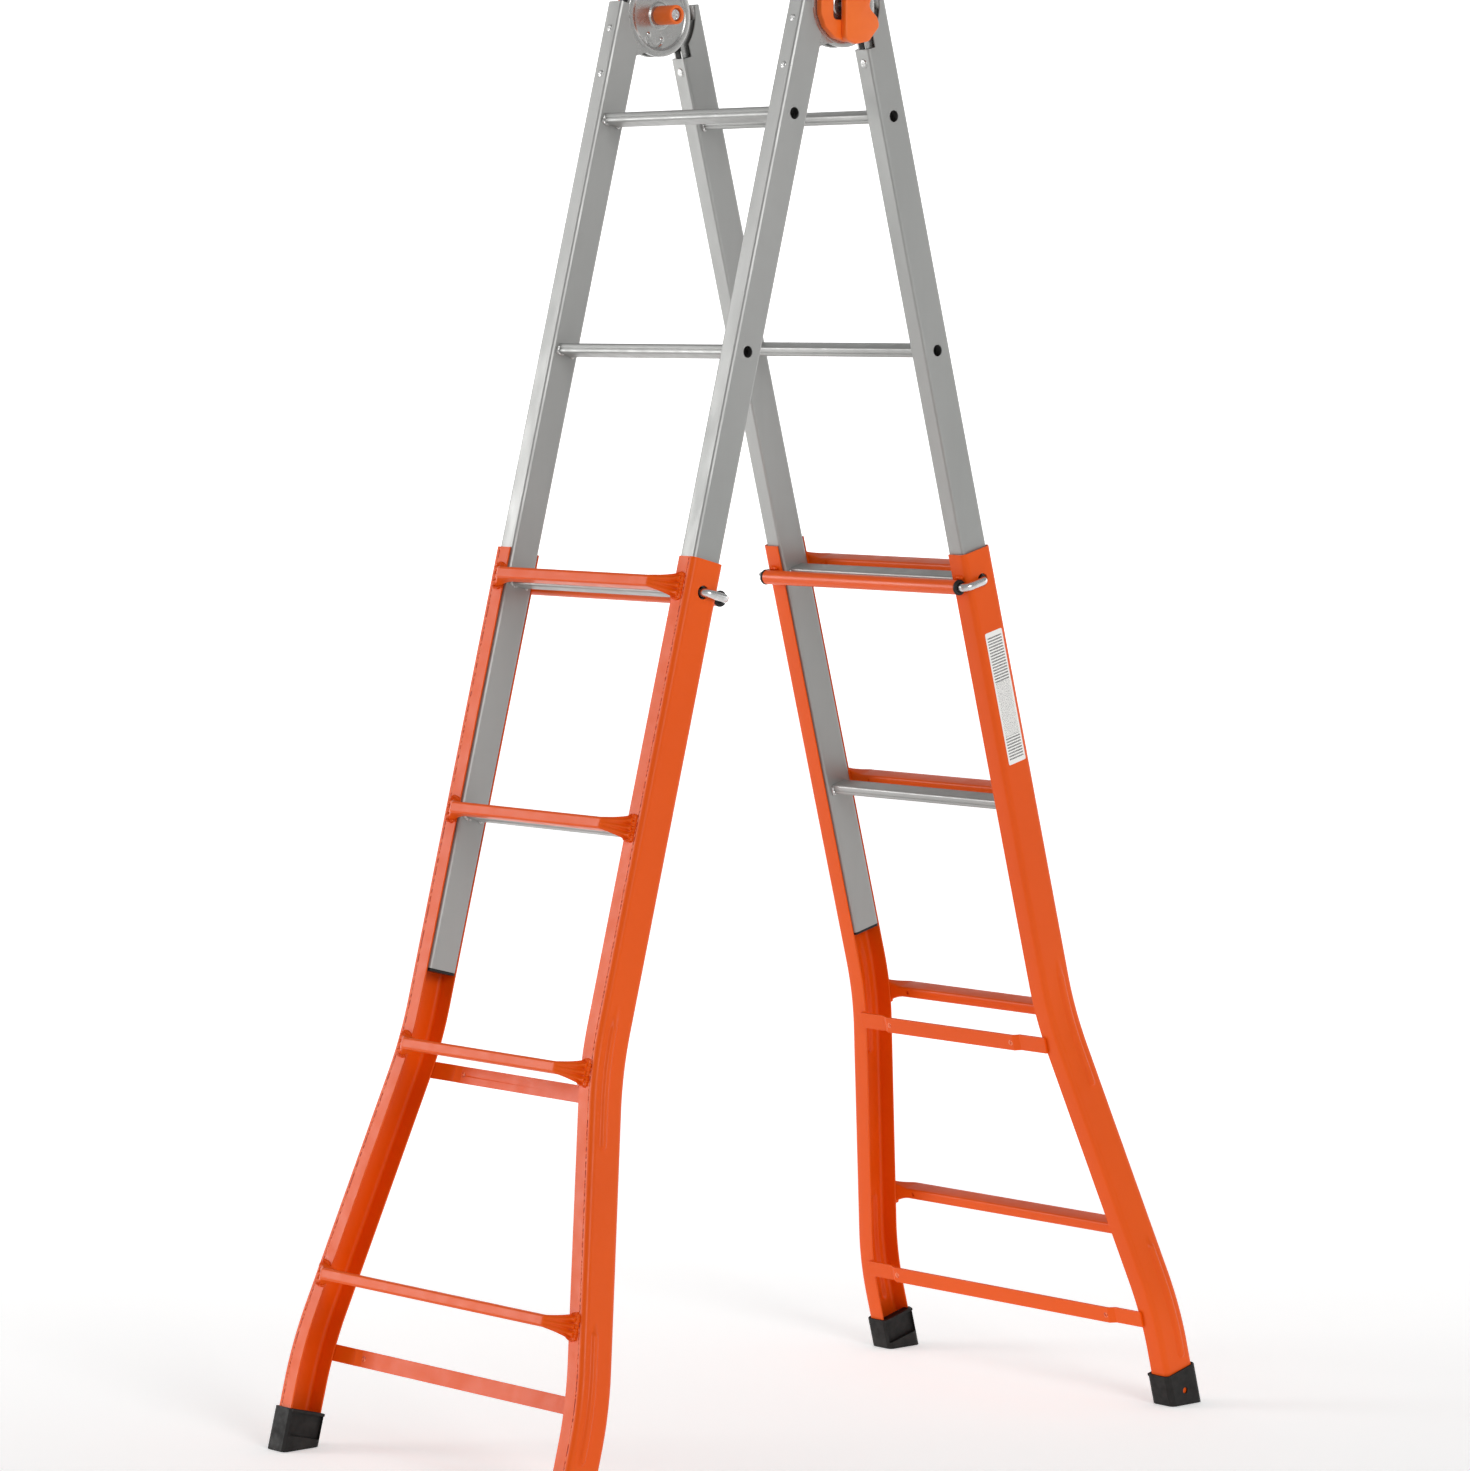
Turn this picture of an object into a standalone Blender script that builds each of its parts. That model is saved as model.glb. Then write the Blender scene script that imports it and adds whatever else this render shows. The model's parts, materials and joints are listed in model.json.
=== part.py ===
"""Steel double ladder with two telescoping legs, in metres, +Z up, origin on the floor.

Two grey inner frames (A towards -X, B towards +X) meet in a pair of locking hinges at the top.
An orange flared outer frame slides on each inner frame and is held by two U-shaped lock hooks.
Every leg is drawn once in its own frame: X away from the other leg, Y along the rungs,
-Z down the leg from the hinge axis. "near" is the -Y side of the ladder, "far" the +Y side.
"""

import math

import bmesh
import bpy
from mathutils import Vector

# Stance
HALF_OPENING = math.radians(14.72)
PITCH = 0.282  # rung to rung, along a leg
FIT_GAP = 0.0003  # between pieces that touch

# Inner frame
INNER_HALF = 0.175  # half the width over the stiles
STILE_WIDTH = 0.025
STILE_DEPTH = 0.040
STILE_WALL = 0.0015
STILE_RADIUS = 0.003
STILE_IN = 0.0235  # axis plane to the stile's inward edge
STILE_TOP = 0.0005  # below the hinge axis
FIRST_RUNG = 0.142
INNER_RUNGS = 4
INNER_TAIL = 0.187  # last rung to the end of the stile
HOOK_R = 0.005  # the lock hooks' bar
PIN_HOLE_R = HOOK_R + 0.002
RUNG_DEPTH = 0.025
RUNG_HEIGHT = 0.012
RUNG_WALL = 0.0012
RUNG_RADIUS = 0.003
CAP_LIP = 0.003
CAP_PLUG = 0.016
CAP_WALL = 0.0022
CAP_SHY = 0.0002  # how far the plug's lip stays inside the stile's outline

# Outer frame
SLIDE_GAP = 0.0012
SIDE_GAP = 0.002
CHANNEL_WALL = 0.002
CHANNEL_RADIUS = 0.0065
FLANGE = 0.027
STEPS_OUT = 2  # the outer frame stands this many pitches below the closed position
OUTER_LIFT = 0.004  # outer rungs above the inner rungs they pass
OUTER_HEAD = 0.033  # stile top above its first rung
OUTER_RUNGS = 4
BEND_1 = 0.557  # below the first outer rung, where the flare starts
BEND_2 = 0.934
BEND_HALF = 0.045  # half the length of each bend
FLARE = 0.089
OUTER_LENGTH = 1.075  # stile top to the end in the foot
OUTER_RUNG_HEIGHT = 0.014
PRESSED_DEPTH = 0.005
PRESSED_HEIGHT = 0.029
PRESSED_LENGTH = 0.005
TAPER_LENGTH = 0.028
RUNG_SETBACK = 0.013  # web face to the rung's end
STRAP_HEIGHT = 0.020
STRAP_THICK = 0.003
STRAP_SETBACK = 0.022  # web face to the strap's end
STRAP_STEP = 0.004  # its middle stands off the flanges this far
STRAP_CRANK = 0.044  # strap's end to the crank
STRAP_BELOW_RUNG_3 = 0.025
STRAP_BELOW_RUNG_4 = 0.092
STRAP_HOLE = 0.0565  # strap's end to the hole
STRAP_HOLE_R = 0.0028
DRAIN_HOLE_R = 0.0025
DRAIN_HOLE = 0.012  # from the end of the rung's full section

# Locks
TUBE_R = HOOK_R + 0.0038
TUBE_WALL = 0.0015
TUBE_SETBACK = 0.009  # web face to the tube's end
BUSH_R = TUBE_R + 0.0006
BUSH_COLLAR = 0.0035
BUSH_DEPTH = 0.012
HOOK_STANDOFF = HOOK_R + 0.0008  # web to the middle of the cross bar
HOOK_BEND = HOOK_R + 0.003
HOOK_TAIL = 0.045
HOOK_HOLE_R = HOOK_R + 0.003
SPRING_R = HOOK_R + 0.0002
SPRING_WIRE = 0.0008
SPRING_TURNS = 12

# Hinges
DISC_R = 0.049
CHEEK = 0.0028
NOTCH_CLEAR = 0.0015
ARM_END = DISC_R + 0.055
WEB_TOP = DISC_R + 0.025
WEB_LENGTH = 0.012
AXLE_R = 0.004
GUARD_THICK = 0.0045
GUARD_TAIL = DISC_R + 0.009  # how far its tail reaches below the axis
GUARD_TAIL_WIDTH = 0.0115
SHOULDER = DISC_R + 0.0075  # below the axis, where hinge half A steps into its stile
SHOULDER_CUT = 0.003
SLEEVE_R = 0.0115
SLEEVE_LENGTH = 0.031
SLEEVE_BORE = 0.0078
SLEEVE_FLOOR = 0.013
LEVER_BASE = 0.009
LEVER_WING = 0.009
BOLT_HEAD = 0.0032

# Feet
FOOT_WALL = 0.0025
FOOT_HEIGHT = 0.031  # overlap on the stile
FOOT_REACH = 0.036
FOOT_HOLE_R = 0.004
FOOT_SOLE = 0.008  # rubber under the stile, at the inward edge of the foot

CHANNEL_IN = STILE_IN - SLIDE_GAP - CHANNEL_WALL
CHANNEL_OUT = STILE_IN + STILE_DEPTH + SLIDE_GAP + CHANNEL_WALL
MIDDLE = (CHANNEL_IN + CHANNEL_OUT) / 2
OUTER_HALF = INNER_HALF + SIDE_GAP + CHANNEL_WALL
PIN_DEPTH = FIRST_RUNG + STEPS_OUT * PITCH  # the inner rung that the hooks hold
OUTER_FIRST = PIN_DEPTH - OUTER_LIFT
INNER_END = FIRST_RUNG + (INNER_RUNGS - 1) * PITCH + INNER_TAIL
OUTER_TOP = OUTER_FIRST - OUTER_HEAD
OUTER_END = OUTER_TOP + OUTER_LENGTH
HINGE_HEIGHT = ((OUTER_END + FOOT_SOLE) * math.cos(HALF_OPENING)
                - (CHANNEL_IN - FOOT_WALL) * math.sin(HALF_OPENING))
HINGE_Y = INNER_HALF - STILE_WIDTH / 2
CHEEK_OUT = STILE_WIDTH / 2 - STILE_WALL - FIT_GAP  # outer cheeks fit inside the stile
TUBE_X = CHANNEL_IN - FIT_GAP - BUSH_R
HOOK_SPAN = MIDDLE - TUBE_X

STEEL = ((0.42, 0.42, 0.41), 0.9, 0.42)
BRIGHT = ((0.74, 0.74, 0.75), 1.0, 0.2)
PAINT = ((0.80, 0.095, 0.008), 0.0, 0.35)
PLASTIC = ((0.018, 0.017, 0.017), 0.0, 0.5)
KNOB = ((0.88, 0.13, 0.006), 0.0, 0.4)


def clear_scene():
    for obj in list(bpy.data.objects):
        bpy.data.objects.remove(obj, do_unlink=True)


def new_collection(name, cutters=False):
    made = bpy.data.collections.new(name)
    bpy.context.scene.collection.children.link(made)
    made.hide_render = cutters
    return made


def dress(obj, finish):
    colour, metallic, roughness = finish
    paint = bpy.data.materials.new(obj.name)
    paint.use_nodes = True
    shader = paint.node_tree.nodes["Principled BSDF"]
    shader.inputs["Base Color"].default_value = (*colour, 1)
    shader.inputs["Metallic"].default_value = metallic
    shader.inputs["Roughness"].default_value = roughness
    obj.data.materials.clear()
    obj.data.materials.append(paint)


def add(name, mesh, parent, place=(0, 0, 0), finish=None, turn=(0, 0, 0)):
    """One object in the ladder's collection, or among the cutters if it has no finish."""
    mesh.name = name
    obj = bpy.data.objects.new(name, mesh)
    (ladder if finish else cutters).objects.link(obj)
    obj.parent = parent
    obj.location = place
    obj.rotation_euler = turn
    if finish:
        mesh.polygons.foreach_set("use_smooth", [True] * len(mesh.polygons))
        mesh.set_sharp_from_angle(angle=math.radians(30))
        dress(obj, finish)
    else:
        obj.hide_render = True
        obj.display_type = "WIRE"
    return obj


def boolean(obj, other, operation="DIFFERENCE"):
    step = obj.modifiers.new(other.name, "BOOLEAN")
    step.operation = operation
    step.solver = "EXACT"
    step.object = other


def mesh_of(holder):
    """The mesh that a holder's curve or modifier makes, welded, with its faces turned out."""
    if holder.name not in bpy.context.scene.collection.objects:
        bpy.context.scene.collection.objects.link(holder)
    graph = bpy.context.evaluated_depsgraph_get()
    mesh = bpy.data.meshes.new_from_object(holder.evaluated_get(graph))
    bpy.data.objects.remove(holder)
    shape = bmesh.new()
    shape.from_mesh(mesh)
    bmesh.ops.remove_doubles(shape, verts=shape.verts, dist=1e-6)
    bmesh.ops.recalc_face_normals(shape, faces=shape.faces)
    shape.to_mesh(mesh)
    shape.free()
    return mesh


def plate(outlines, thickness):
    """Closed outlines filled in the XY plane, the inner ones as holes, thickened along Z."""
    curve = bpy.data.curves.new("plate", "CURVE")
    curve.dimensions = "2D"
    curve.fill_mode = "BOTH"
    curve.extrude = thickness / 2
    for outline in outlines:
        line = curve.splines.new("POLY")
        line.points.add(len(outline) - 1)
        for point, (x, y) in zip(line.points, outline):
            point.co = (x, y, 0, 1)
        line.use_cyclic_u = True
    return mesh_of(bpy.data.objects.new("holder", curve))


def rod(path, radius, steps):
    """A round rod along a path of points, with flat ends."""
    curve = bpy.data.curves.new("rod", "CURVE")
    curve.dimensions = "3D"
    curve.bevel_depth = radius
    curve.bevel_resolution = steps
    curve.use_fill_caps = True
    line = curve.splines.new("POLY")
    line.points.add(len(path) - 1)
    for point, place in zip(line.points, path):
        point.co = (*place, 1)
    return mesh_of(bpy.data.objects.new("holder", curve))


def loft(rings):
    """A solid through closed rings of points, each with the same number of points."""
    shape = bmesh.new()
    rows = [[shape.verts.new(point) for point in ring] for ring in rings]
    count = len(rows[0])
    for low, high in zip(rows, rows[1:]):
        for i in range(count):
            j = (i + 1) % count
            shape.faces.new((low[i], low[j], high[j], high[i]))
    shape.faces.new(rows[0])
    shape.faces.new(rows[-1])
    bmesh.ops.recalc_face_normals(shape, faces=shape.faces)
    mesh = bpy.data.meshes.new("loft")
    shape.to_mesh(mesh)
    shape.free()
    return mesh


def turned(profile, steps):
    """A profile of (radius, height) points turned round Z, closed unless it starts on the axis."""
    line = bpy.data.meshes.new("profile")
    count = len(profile)
    points = [(radius, 0, height) for radius, height in profile]
    edges = count if profile[0][0] else count - 1
    line.from_pydata(points, [(i, (i + 1) % count) for i in range(edges)], [])
    holder = bpy.data.objects.new("holder", line)
    screw = holder.modifiers.new("turn", "SCREW")
    screw.steps = screw.render_steps = steps
    screw.use_merge_vertices = True
    screw.merge_threshold = 1e-6
    return mesh_of(holder)


def cylinder(radius, length, steps):
    shape = bmesh.new()
    bmesh.ops.create_cone(shape, cap_ends=True, segments=steps, radius1=radius,
                          radius2=radius, depth=length)
    mesh = bpy.data.meshes.new("cylinder")
    shape.to_mesh(mesh)
    shape.free()
    return mesh


def block(x, y, z):
    shape = bmesh.new()
    bmesh.ops.create_cube(shape, size=1)
    bmesh.ops.scale(shape, vec=(x, y, z), verts=shape.verts)
    mesh = bpy.data.meshes.new("block")
    shape.to_mesh(mesh)
    shape.free()
    return mesh


def circle(x, y, radius, steps):
    angles = [2 * math.pi * i / steps for i in range(steps)]
    return [(x + radius * math.cos(a), y + radius * math.sin(a)) for a in angles]


def arc(radius, start, end, steps):
    """Points on a circle about the origin, from one angle in degrees to another."""
    angles = [math.radians(start + (end - start) * i / steps) for i in range(steps + 1)]
    return [(radius * math.cos(a), radius * math.sin(a)) for a in angles]


def rounded(corners, radius, steps=2):
    """A polygon whose corners are arcs; a corner may carry its own radius as a third number."""
    made = []
    for i, corner in enumerate(corners):
        here = Vector(corner[:2])
        back = (Vector(corners[i - 1][:2]) - here).normalized()
        ahead = (Vector(corners[(i + 1) % len(corners)][:2]) - here).normalized()
        r = corner[2] if len(corner) > 2 else radius
        if r == 0:
            made.append(tuple(here))
            continue
        half = back.angle(ahead) / 2
        centre = here + (back + ahead).normalized() * (r / math.sin(half))
        first = here + back * (r / math.tan(half)) - centre
        last = here + ahead * (r / math.tan(half)) - centre
        sweep = first.angle_signed(last)
        for k in range(steps + 1):
            turn = -sweep * k / steps
            cos, sin = math.cos(turn), math.sin(turn)
            x, y = first
            made.append((centre.x + x * cos - y * sin, centre.y + x * sin + y * cos))
    return made


def box(x0, x1, y0, y1, radius=0.0, steps=2):
    corners = [(x0, y0), (x1, y0), (x1, y1), (x0, y1)]
    return rounded(corners, radius, steps)


def mirrored(half):
    """The other half of an outline that is the same above and below the X axis."""
    return [(x, -y) for x, y in reversed(half)]


def inset_box(x0, x1, y0, y1, inset, radius=0.0):
    return box(x0 + inset, x1 - inset, y0 + inset, y1 - inset, radius)


def bend(distance):
    """How far a ramp that starts softly at 0 has risen."""
    if distance <= -BEND_HALF:
        return 0.0
    if distance >= BEND_HALF:
        return distance
    return (distance + BEND_HALF) ** 2 / (4 * BEND_HALF)


def flare(s):
    """Outward shift of an outer stile at a distance s down the leg."""
    below = s - OUTER_FIRST
    slope = FLARE / (BEND_2 - BEND_1)
    return slope * (bend(below - BEND_1) - bend(below - BEND_2))


def bore(obj, place, radius, length, axis="Y", steps=12):
    """A round hole through an object, given in its parent's frame."""
    turn = {"X": (0, math.pi / 2, 0), "Y": (math.pi / 2, 0, 0), "Z": (0, 0, 0)}[axis]
    count = len(obj.modifiers) + 1
    boolean(obj, add(f"{obj.name}_bore_{count}", cylinder(radius, length, steps), obj.parent,
                     place, turn=turn))


def empty(name, parent, place, turn=(0, 0, 0)):
    made = bpy.data.objects.new(name, None)
    ladder.objects.link(made)
    made.parent = parent
    made.location = place
    made.rotation_euler = turn
    made.empty_display_size = 0.05
    return made


# ---- inner frame -------------------------------------------------------------------------

def inner_frame(tag, leg, sides):
    """Two tube stiles, four rungs between them and a plug in the end of each stile."""
    outside = (STILE_IN, STILE_IN + STILE_DEPTH)
    half = STILE_WIDTH / 2
    for side, sign in sides.items():
        y = sign * HINGE_Y
        length = INNER_END - STILE_TOP
        place = (0, y, -(INNER_END + STILE_TOP) / 2)
        tube = plate([box(*outside, -half, half, STILE_RADIUS)], length)
        stile = add(f"inner_{tag}_stile_{side}", tube, leg, place, STEEL)
        bar = block(STILE_DEPTH - 2 * STILE_WALL, STILE_WIDTH - 2 * STILE_WALL, length + 0.02)
        boolean(stile, add(f"{stile.name}_hollow", bar, leg, (MIDDLE, *place[1:])))
        notch = DISC_R + NOTCH_CLEAR + (GUARD_THICK if tag == "b" else 0)
        bore(stile, (0, y, 0), notch, 0.04, steps=50)
        wide, deep = {"a": (SHOULDER_CUT, SHOULDER), "b": (GUARD_TAIL_WIDTH, GUARD_TAIL)}[tag]
        deep += FIT_GAP
        step = add(f"{stile.name}_step", block(2 * wide, 0.04, deep), leg,
                   (STILE_IN, y, -deep / 2))
        boolean(stile, step)
        for i in range(INNER_RUNGS):
            bore(stile, (MIDDLE, sign * INNER_HALF, -(FIRST_RUNG + i * PITCH)),
                 PIN_HOLE_R, STILE_WIDTH / 2, steps=14)
        lip = inset_box(*outside, -half, half, CAP_SHY, STILE_RADIUS)
        inset = STILE_WALL + FIT_GAP
        plug = inset_box(*outside, -half, half, inset, STILE_RADIUS - STILE_WALL)
        hollow = inset_box(*outside, -half, half, inset + CAP_WALL)
        cap = add(f"inner_{tag}_cap_{side}", plate([lip], CAP_LIP), leg,
                  (0, y, -(INNER_END + FIT_GAP + CAP_LIP / 2)), PLASTIC)
        plug = add(f"{cap.name}_plug", plate([plug, hollow], CAP_PLUG), leg,
                   (0, y, -(INNER_END + FIT_GAP + 0.001 - CAP_PLUG / 2)))
        boolean(cap, plug, "UNION")

    reach = INNER_HALF - STILE_WIDTH - FIT_GAP
    inset = RUNG_WALL
    across, tall = RUNG_DEPTH / 2, RUNG_HEIGHT / 2
    section = [
        box(-across, across, -tall, tall, RUNG_RADIUS),
        box(inset - across, across - inset, inset - tall, tall - inset, RUNG_RADIUS - inset),
    ]
    for i in range(INNER_RUNGS):
        add(f"inner_{tag}_rung_{i + 1}", plate(section, 2 * reach), leg,
            (MIDDLE, 0, -(FIRST_RUNG + i * PITCH)), STEEL, (math.pi / 2, 0, 0))


# ---- outer frame -------------------------------------------------------------------------

def channel_stile(name, slider, sign):
    """A folded channel, open towards the ladder's middle, that flares out below rung 3."""
    edge = OUTER_HALF - FLANGE
    inner_r = CHANNEL_RADIUS - CHANNEL_WALL
    outline = rounded(
        [
            (CHANNEL_IN, edge, 0), (CHANNEL_IN, OUTER_HALF, CHANNEL_RADIUS),
            (CHANNEL_OUT, OUTER_HALF, CHANNEL_RADIUS), (CHANNEL_OUT, edge, 0),
            (CHANNEL_OUT - CHANNEL_WALL, edge, 0),
            (CHANNEL_OUT - CHANNEL_WALL, OUTER_HALF - CHANNEL_WALL, inner_r),
            (CHANNEL_IN + CHANNEL_WALL, OUTER_HALF - CHANNEL_WALL, inner_r),
            (CHANNEL_IN + CHANNEL_WALL, edge, 0),
        ],
        0,
    )
    stations = [OUTER_TOP]
    for middle in (OUTER_FIRST + BEND_1, OUTER_FIRST + BEND_2):
        stations += [middle + BEND_HALF * k / 2 for k in range(-2, 3)]
    stations.append(OUTER_END)
    rings = [[(x, sign * (y + flare(s)), -s) for x, y in outline] for s in stations]
    stile = add(name, loft(rings), slider, (0, 0, 0), PAINT)
    bore(stile, (MIDDLE, sign * OUTER_HALF, -PIN_DEPTH), HOOK_HOLE_R, 0.01)
    return stile


def outer_rung(name, slider, s):
    """A tube whose ends are pressed flat on the stiles' outward flanges."""
    end = OUTER_HALF + flare(s) - RUNG_SETBACK
    flat = end - PRESSED_LENGTH
    full = flat - TAPER_LENGTH
    base = CHANNEL_OUT + FIT_GAP

    def ring(y, depth, height, wall, shift=0.0):
        low = base + wall + shift
        outline = box(low, base + depth - wall, wall - height / 2, height / 2 - wall,
                      min(depth, height) * 0.2 - wall * 0.4, 1)
        return [(x, y, z) for x, z in outline]

    def rings(wall, ends):
        halfway = (flat + full) / 2
        half_depth = (PRESSED_DEPTH + RUNG_DEPTH) / 2 - 0.002
        half_height = (PRESSED_HEIGHT + OUTER_RUNG_HEIGHT) / 2
        one = [
            (full, RUNG_DEPTH, OUTER_RUNG_HEIGHT),
            (halfway, half_depth, half_height),
        ] + ends
        there = [ring(y, depth, height, wall) for y, depth, height in one]
        back = [ring(-y, depth, height, wall) for y, depth, height in reversed(one)]
        return back + there

    solid = loft(rings(0, [(flat, PRESSED_DEPTH, PRESSED_HEIGHT),
                           (end, PRESSED_DEPTH, PRESSED_HEIGHT)]))
    rung = add(name, solid, slider, (0, 0, -s), PAINT)
    hollow = add(f"{name}_hollow", loft(rings(RUNG_WALL, [])), slider, (0, 0, -s))
    boolean(rung, hollow)
    for y in (full - DRAIN_HOLE, DRAIN_HOLE - full):
        bore(rung, (base, y, -s), DRAIN_HOLE_R, 4 * RUNG_WALL, "X", 10)
    return rung


def strap(name, slider, s):
    """A flat bar behind the inward flanges, cranked so that its middle stands off."""
    end = OUTER_HALF + flare(s) - STRAP_SETBACK
    step = end - STRAP_CRANK
    low = CHANNEL_IN - FIT_GAP - STRAP_THICK
    away = low - STRAP_STEP
    lean = STRAP_STEP * 2
    corners = [
        (low, end), (low, step), (away, step - lean), (away, lean - step), (low, -step),
        (low, -end), (low + STRAP_THICK, -end), (low + STRAP_THICK, -step),
        (away + STRAP_THICK, lean - step), (away + STRAP_THICK, step - lean),
        (low + STRAP_THICK, step), (low + STRAP_THICK, end),
    ]
    bar = add(name, plate([corners], STRAP_HEIGHT), slider, (0, 0, -s), PAINT)
    for y in (end - STRAP_HOLE, STRAP_HOLE - end):
        bore(bar, (away, y, -s), STRAP_HOLE_R, 0.02, "X", 10)


def foot(name, slider, sign):
    """A rubber boot over the end of the channel, open like it and level with the floor."""
    x0, x1 = CHANNEL_IN - FOOT_WALL, CHANNEL_OUT + FOOT_WALL
    y1 = OUTER_HALF + FLARE + FOOT_WALL
    outline = box(x0, x1, y1 - FOOT_REACH, y1, 0.006)
    top = OUTER_END - FOOT_HEIGHT

    def floor(x):
        return -(HINGE_HEIGHT + x * math.sin(HALF_OPENING)) / math.cos(HALF_OPENING)

    rings = [
        [(x, sign * y, -top) for x, y in outline],
        [(x, sign * y, floor(x)) for x, y in outline],
    ]
    boot = add(name, loft(rings), slider, (0, 0, 0), PLASTIC)
    pocket = box(CHANNEL_IN - FIT_GAP, CHANNEL_OUT + FIT_GAP,
                 y1 - 1.3 * FOOT_REACH, y1 - FOOT_WALL + FIT_GAP, 0.003)
    pocket = [(x, sign * y) for x, y in pocket]
    depth = FOOT_HEIGHT + FIT_GAP + 0.01
    boolean(boot, add(f"{name}_pocket", plate([pocket], depth), slider,
                      (0, 0, -(OUTER_END + FIT_GAP - depth / 2))))
    bore(boot, (MIDDLE, sign * y1, FOOT_HOLE_R - OUTER_END), FOOT_HOLE_R, 2 * FOOT_WALL)


def outer_frame(tag, slider, sides):
    for side, sign in sides.items():
        channel_stile(f"outer_{tag}_stile_{side}", slider, sign)
        foot(f"outer_{tag}_foot_{side}", slider, sign)
    for i in range(OUTER_RUNGS):
        outer_rung(f"outer_{tag}_rung_{i + 1}", slider, OUTER_FIRST + i * PITCH)
    strap(f"outer_{tag}_strap_upper", slider, OUTER_FIRST + 2 * PITCH + STRAP_BELOW_RUNG_3)
    strap(f"outer_{tag}_strap_lower", slider, OUTER_FIRST + 3 * PITCH + STRAP_BELOW_RUNG_4)


# ---- lock tube, hooks and spring ---------------------------------------------------------

def locks(tag, slider, sides):
    """The cross tube with its bushings, a U hook at each end and the spring between them."""
    across = (math.pi / 2, 0, 0)
    half = OUTER_HALF - TUBE_SETBACK
    ring = [circle(0, 0, TUBE_R, 24), circle(0, 0, TUBE_R - TUBE_WALL, 24)]
    add(f"outer_{tag}_lock_tube", plate(ring, 2 * half), slider,
        (TUBE_X, 0, -PIN_DEPTH), PAINT, across)
    inner = TUBE_R - TUBE_WALL - FIT_GAP
    hole = HOOK_R + FIT_GAP
    for side, sign in sides.items():
        profile = [
            (hole, -BUSH_DEPTH), (inner, -BUSH_DEPTH), (inner, FIT_GAP), (BUSH_R, FIT_GAP),
            (BUSH_R, FIT_GAP + BUSH_COLLAR), (hole, FIT_GAP + BUSH_COLLAR),
        ]
        add(f"outer_{tag}_bushing_{side}", turned(profile, 16), slider,
            (TUBE_X, sign * half, -PIN_DEPTH), PLASTIC, (-sign * math.pi / 2, 0, 0))

        rest = empty(f"hook_{tag}_{side}_slide", slider, (TUBE_X, 0, -PIN_DEPTH))
        bar = OUTER_HALF + HOOK_STANDOFF
        b = HOOK_BEND
        first = [(b - b * math.cos(a), bar - b + b * math.sin(a)) for a in quarter()]
        second = [(HOOK_SPAN - b + b * math.sin(a), bar - b + b * math.cos(a))
                  for a in quarter()]
        line = [(0, OUTER_HALF - HOOK_TAIL)] + first + second
        line.append((HOOK_SPAN, INNER_HALF + 0.0006))
        add(f"lock_hook_{tag}_{side}", rod([(x, sign * y, 0) for x, y in line], HOOK_R, 2),
            rest, (0, 0, 0), BRIGHT)

    reach = OUTER_HALF - HOOK_TAIL - FIT_GAP - SPRING_WIRE
    count = 8 * SPRING_TURNS
    coil = []
    for i in range(count + 1):
        a = math.radians(45 * i)
        coil.append((SPRING_R * math.cos(a), reach * (2 * i / count - 1),
                     SPRING_R * math.sin(a)))
    add(f"lock_spring_{tag}", rod(coil, SPRING_WIRE, 0), slider,
        (TUBE_X, 0, -PIN_DEPTH), BRIGHT)


def quarter(steps=4):
    return [math.pi / 2 * i / steps for i in range(steps + 1)]


# ---- hinges ------------------------------------------------------------------------------

def hinge_half(name, leg, sign, outer):
    """A pair of discs with arms that run down inside the stile, joined by a web between them."""
    upright = (math.pi / 2, 0, 0)
    x0 = STILE_IN + STILE_WALL + FIT_GAP
    x1 = STILE_IN + STILE_DEPTH - STILE_WALL - FIT_GAP
    if outer:
        rim = arc(DISC_R, -20, 268, 34)
        rim += [(0.25 * DISC_R, -1.02 * DISC_R), (STILE_IN - FIT_GAP, -SHOULDER), (x0, -SHOULDER)]
    else:
        rim = arc(DISC_R, -20, 360 - math.degrees(math.acos(x0 / DISC_R)), 36)
    cheek = rim + [(x0, -ARM_END), (x1, -ARM_END), (x1, rim[0][1])]
    face = CHEEK_OUT if outer else CHEEK_OUT - CHEEK - FIT_GAP
    hole = circle(0, 0, AXLE_R + FIT_GAP, 12)
    y = sign * HINGE_Y
    half = add(name, plate([cheek, hole], CHEEK), leg,
               (0, y + face - CHEEK / 2, 0), STEEL, upright)
    other = add(f"{name}_other", plate([cheek, hole], CHEEK), leg,
                (0, y - face + CHEEK / 2, 0), turn=upright)
    web = block(x1 - x0 - 0.001, 2 * face - CHEEK, WEB_LENGTH)
    web = add(f"{name}_web", web, leg, ((x0 + x1) / 2, y, -WEB_TOP - WEB_LENGTH / 2))
    boolean(half, other, "UNION")
    boolean(half, web, "UNION")


def guard(name, leg, sign):
    """The plastic strip between the discs and stile B, slotted for the arms, with its tail."""
    low, high = DISC_R + 0.0005, DISC_R + GUARD_THICK + NOTCH_CLEAR - FIT_GAP
    outline = arc(high, -4, -50, 8)
    root = STILE_IN + GUARD_TAIL_WIDTH - FIT_GAP
    outline += [(root, outline[-1][1]), (root, -GUARD_TAIL), (STILE_IN + 0.004, -GUARD_TAIL),
                (STILE_IN + 0.001, -DISC_R - 0.0015), (STILE_IN - 0.005, -DISC_R - 0.0002)]
    outline += arc(low, -66, -4, 10)
    strip = add(name, plate([outline], STILE_WIDTH - 0.001), leg, (0, sign * HINGE_Y, 0),
                PLASTIC, (math.pi / 2, 0, 0))
    room = 2 * (CHEEK_OUT - CHEEK)
    slot = block(STILE_DEPTH, room, 2 * GUARD_TAIL)
    left = STILE_IN + STILE_WALL
    boolean(strip, add(f"{name}_slot", slot, leg,
                       (left + STILE_DEPTH / 2, sign * HINGE_Y, -GUARD_TAIL)))


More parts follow.
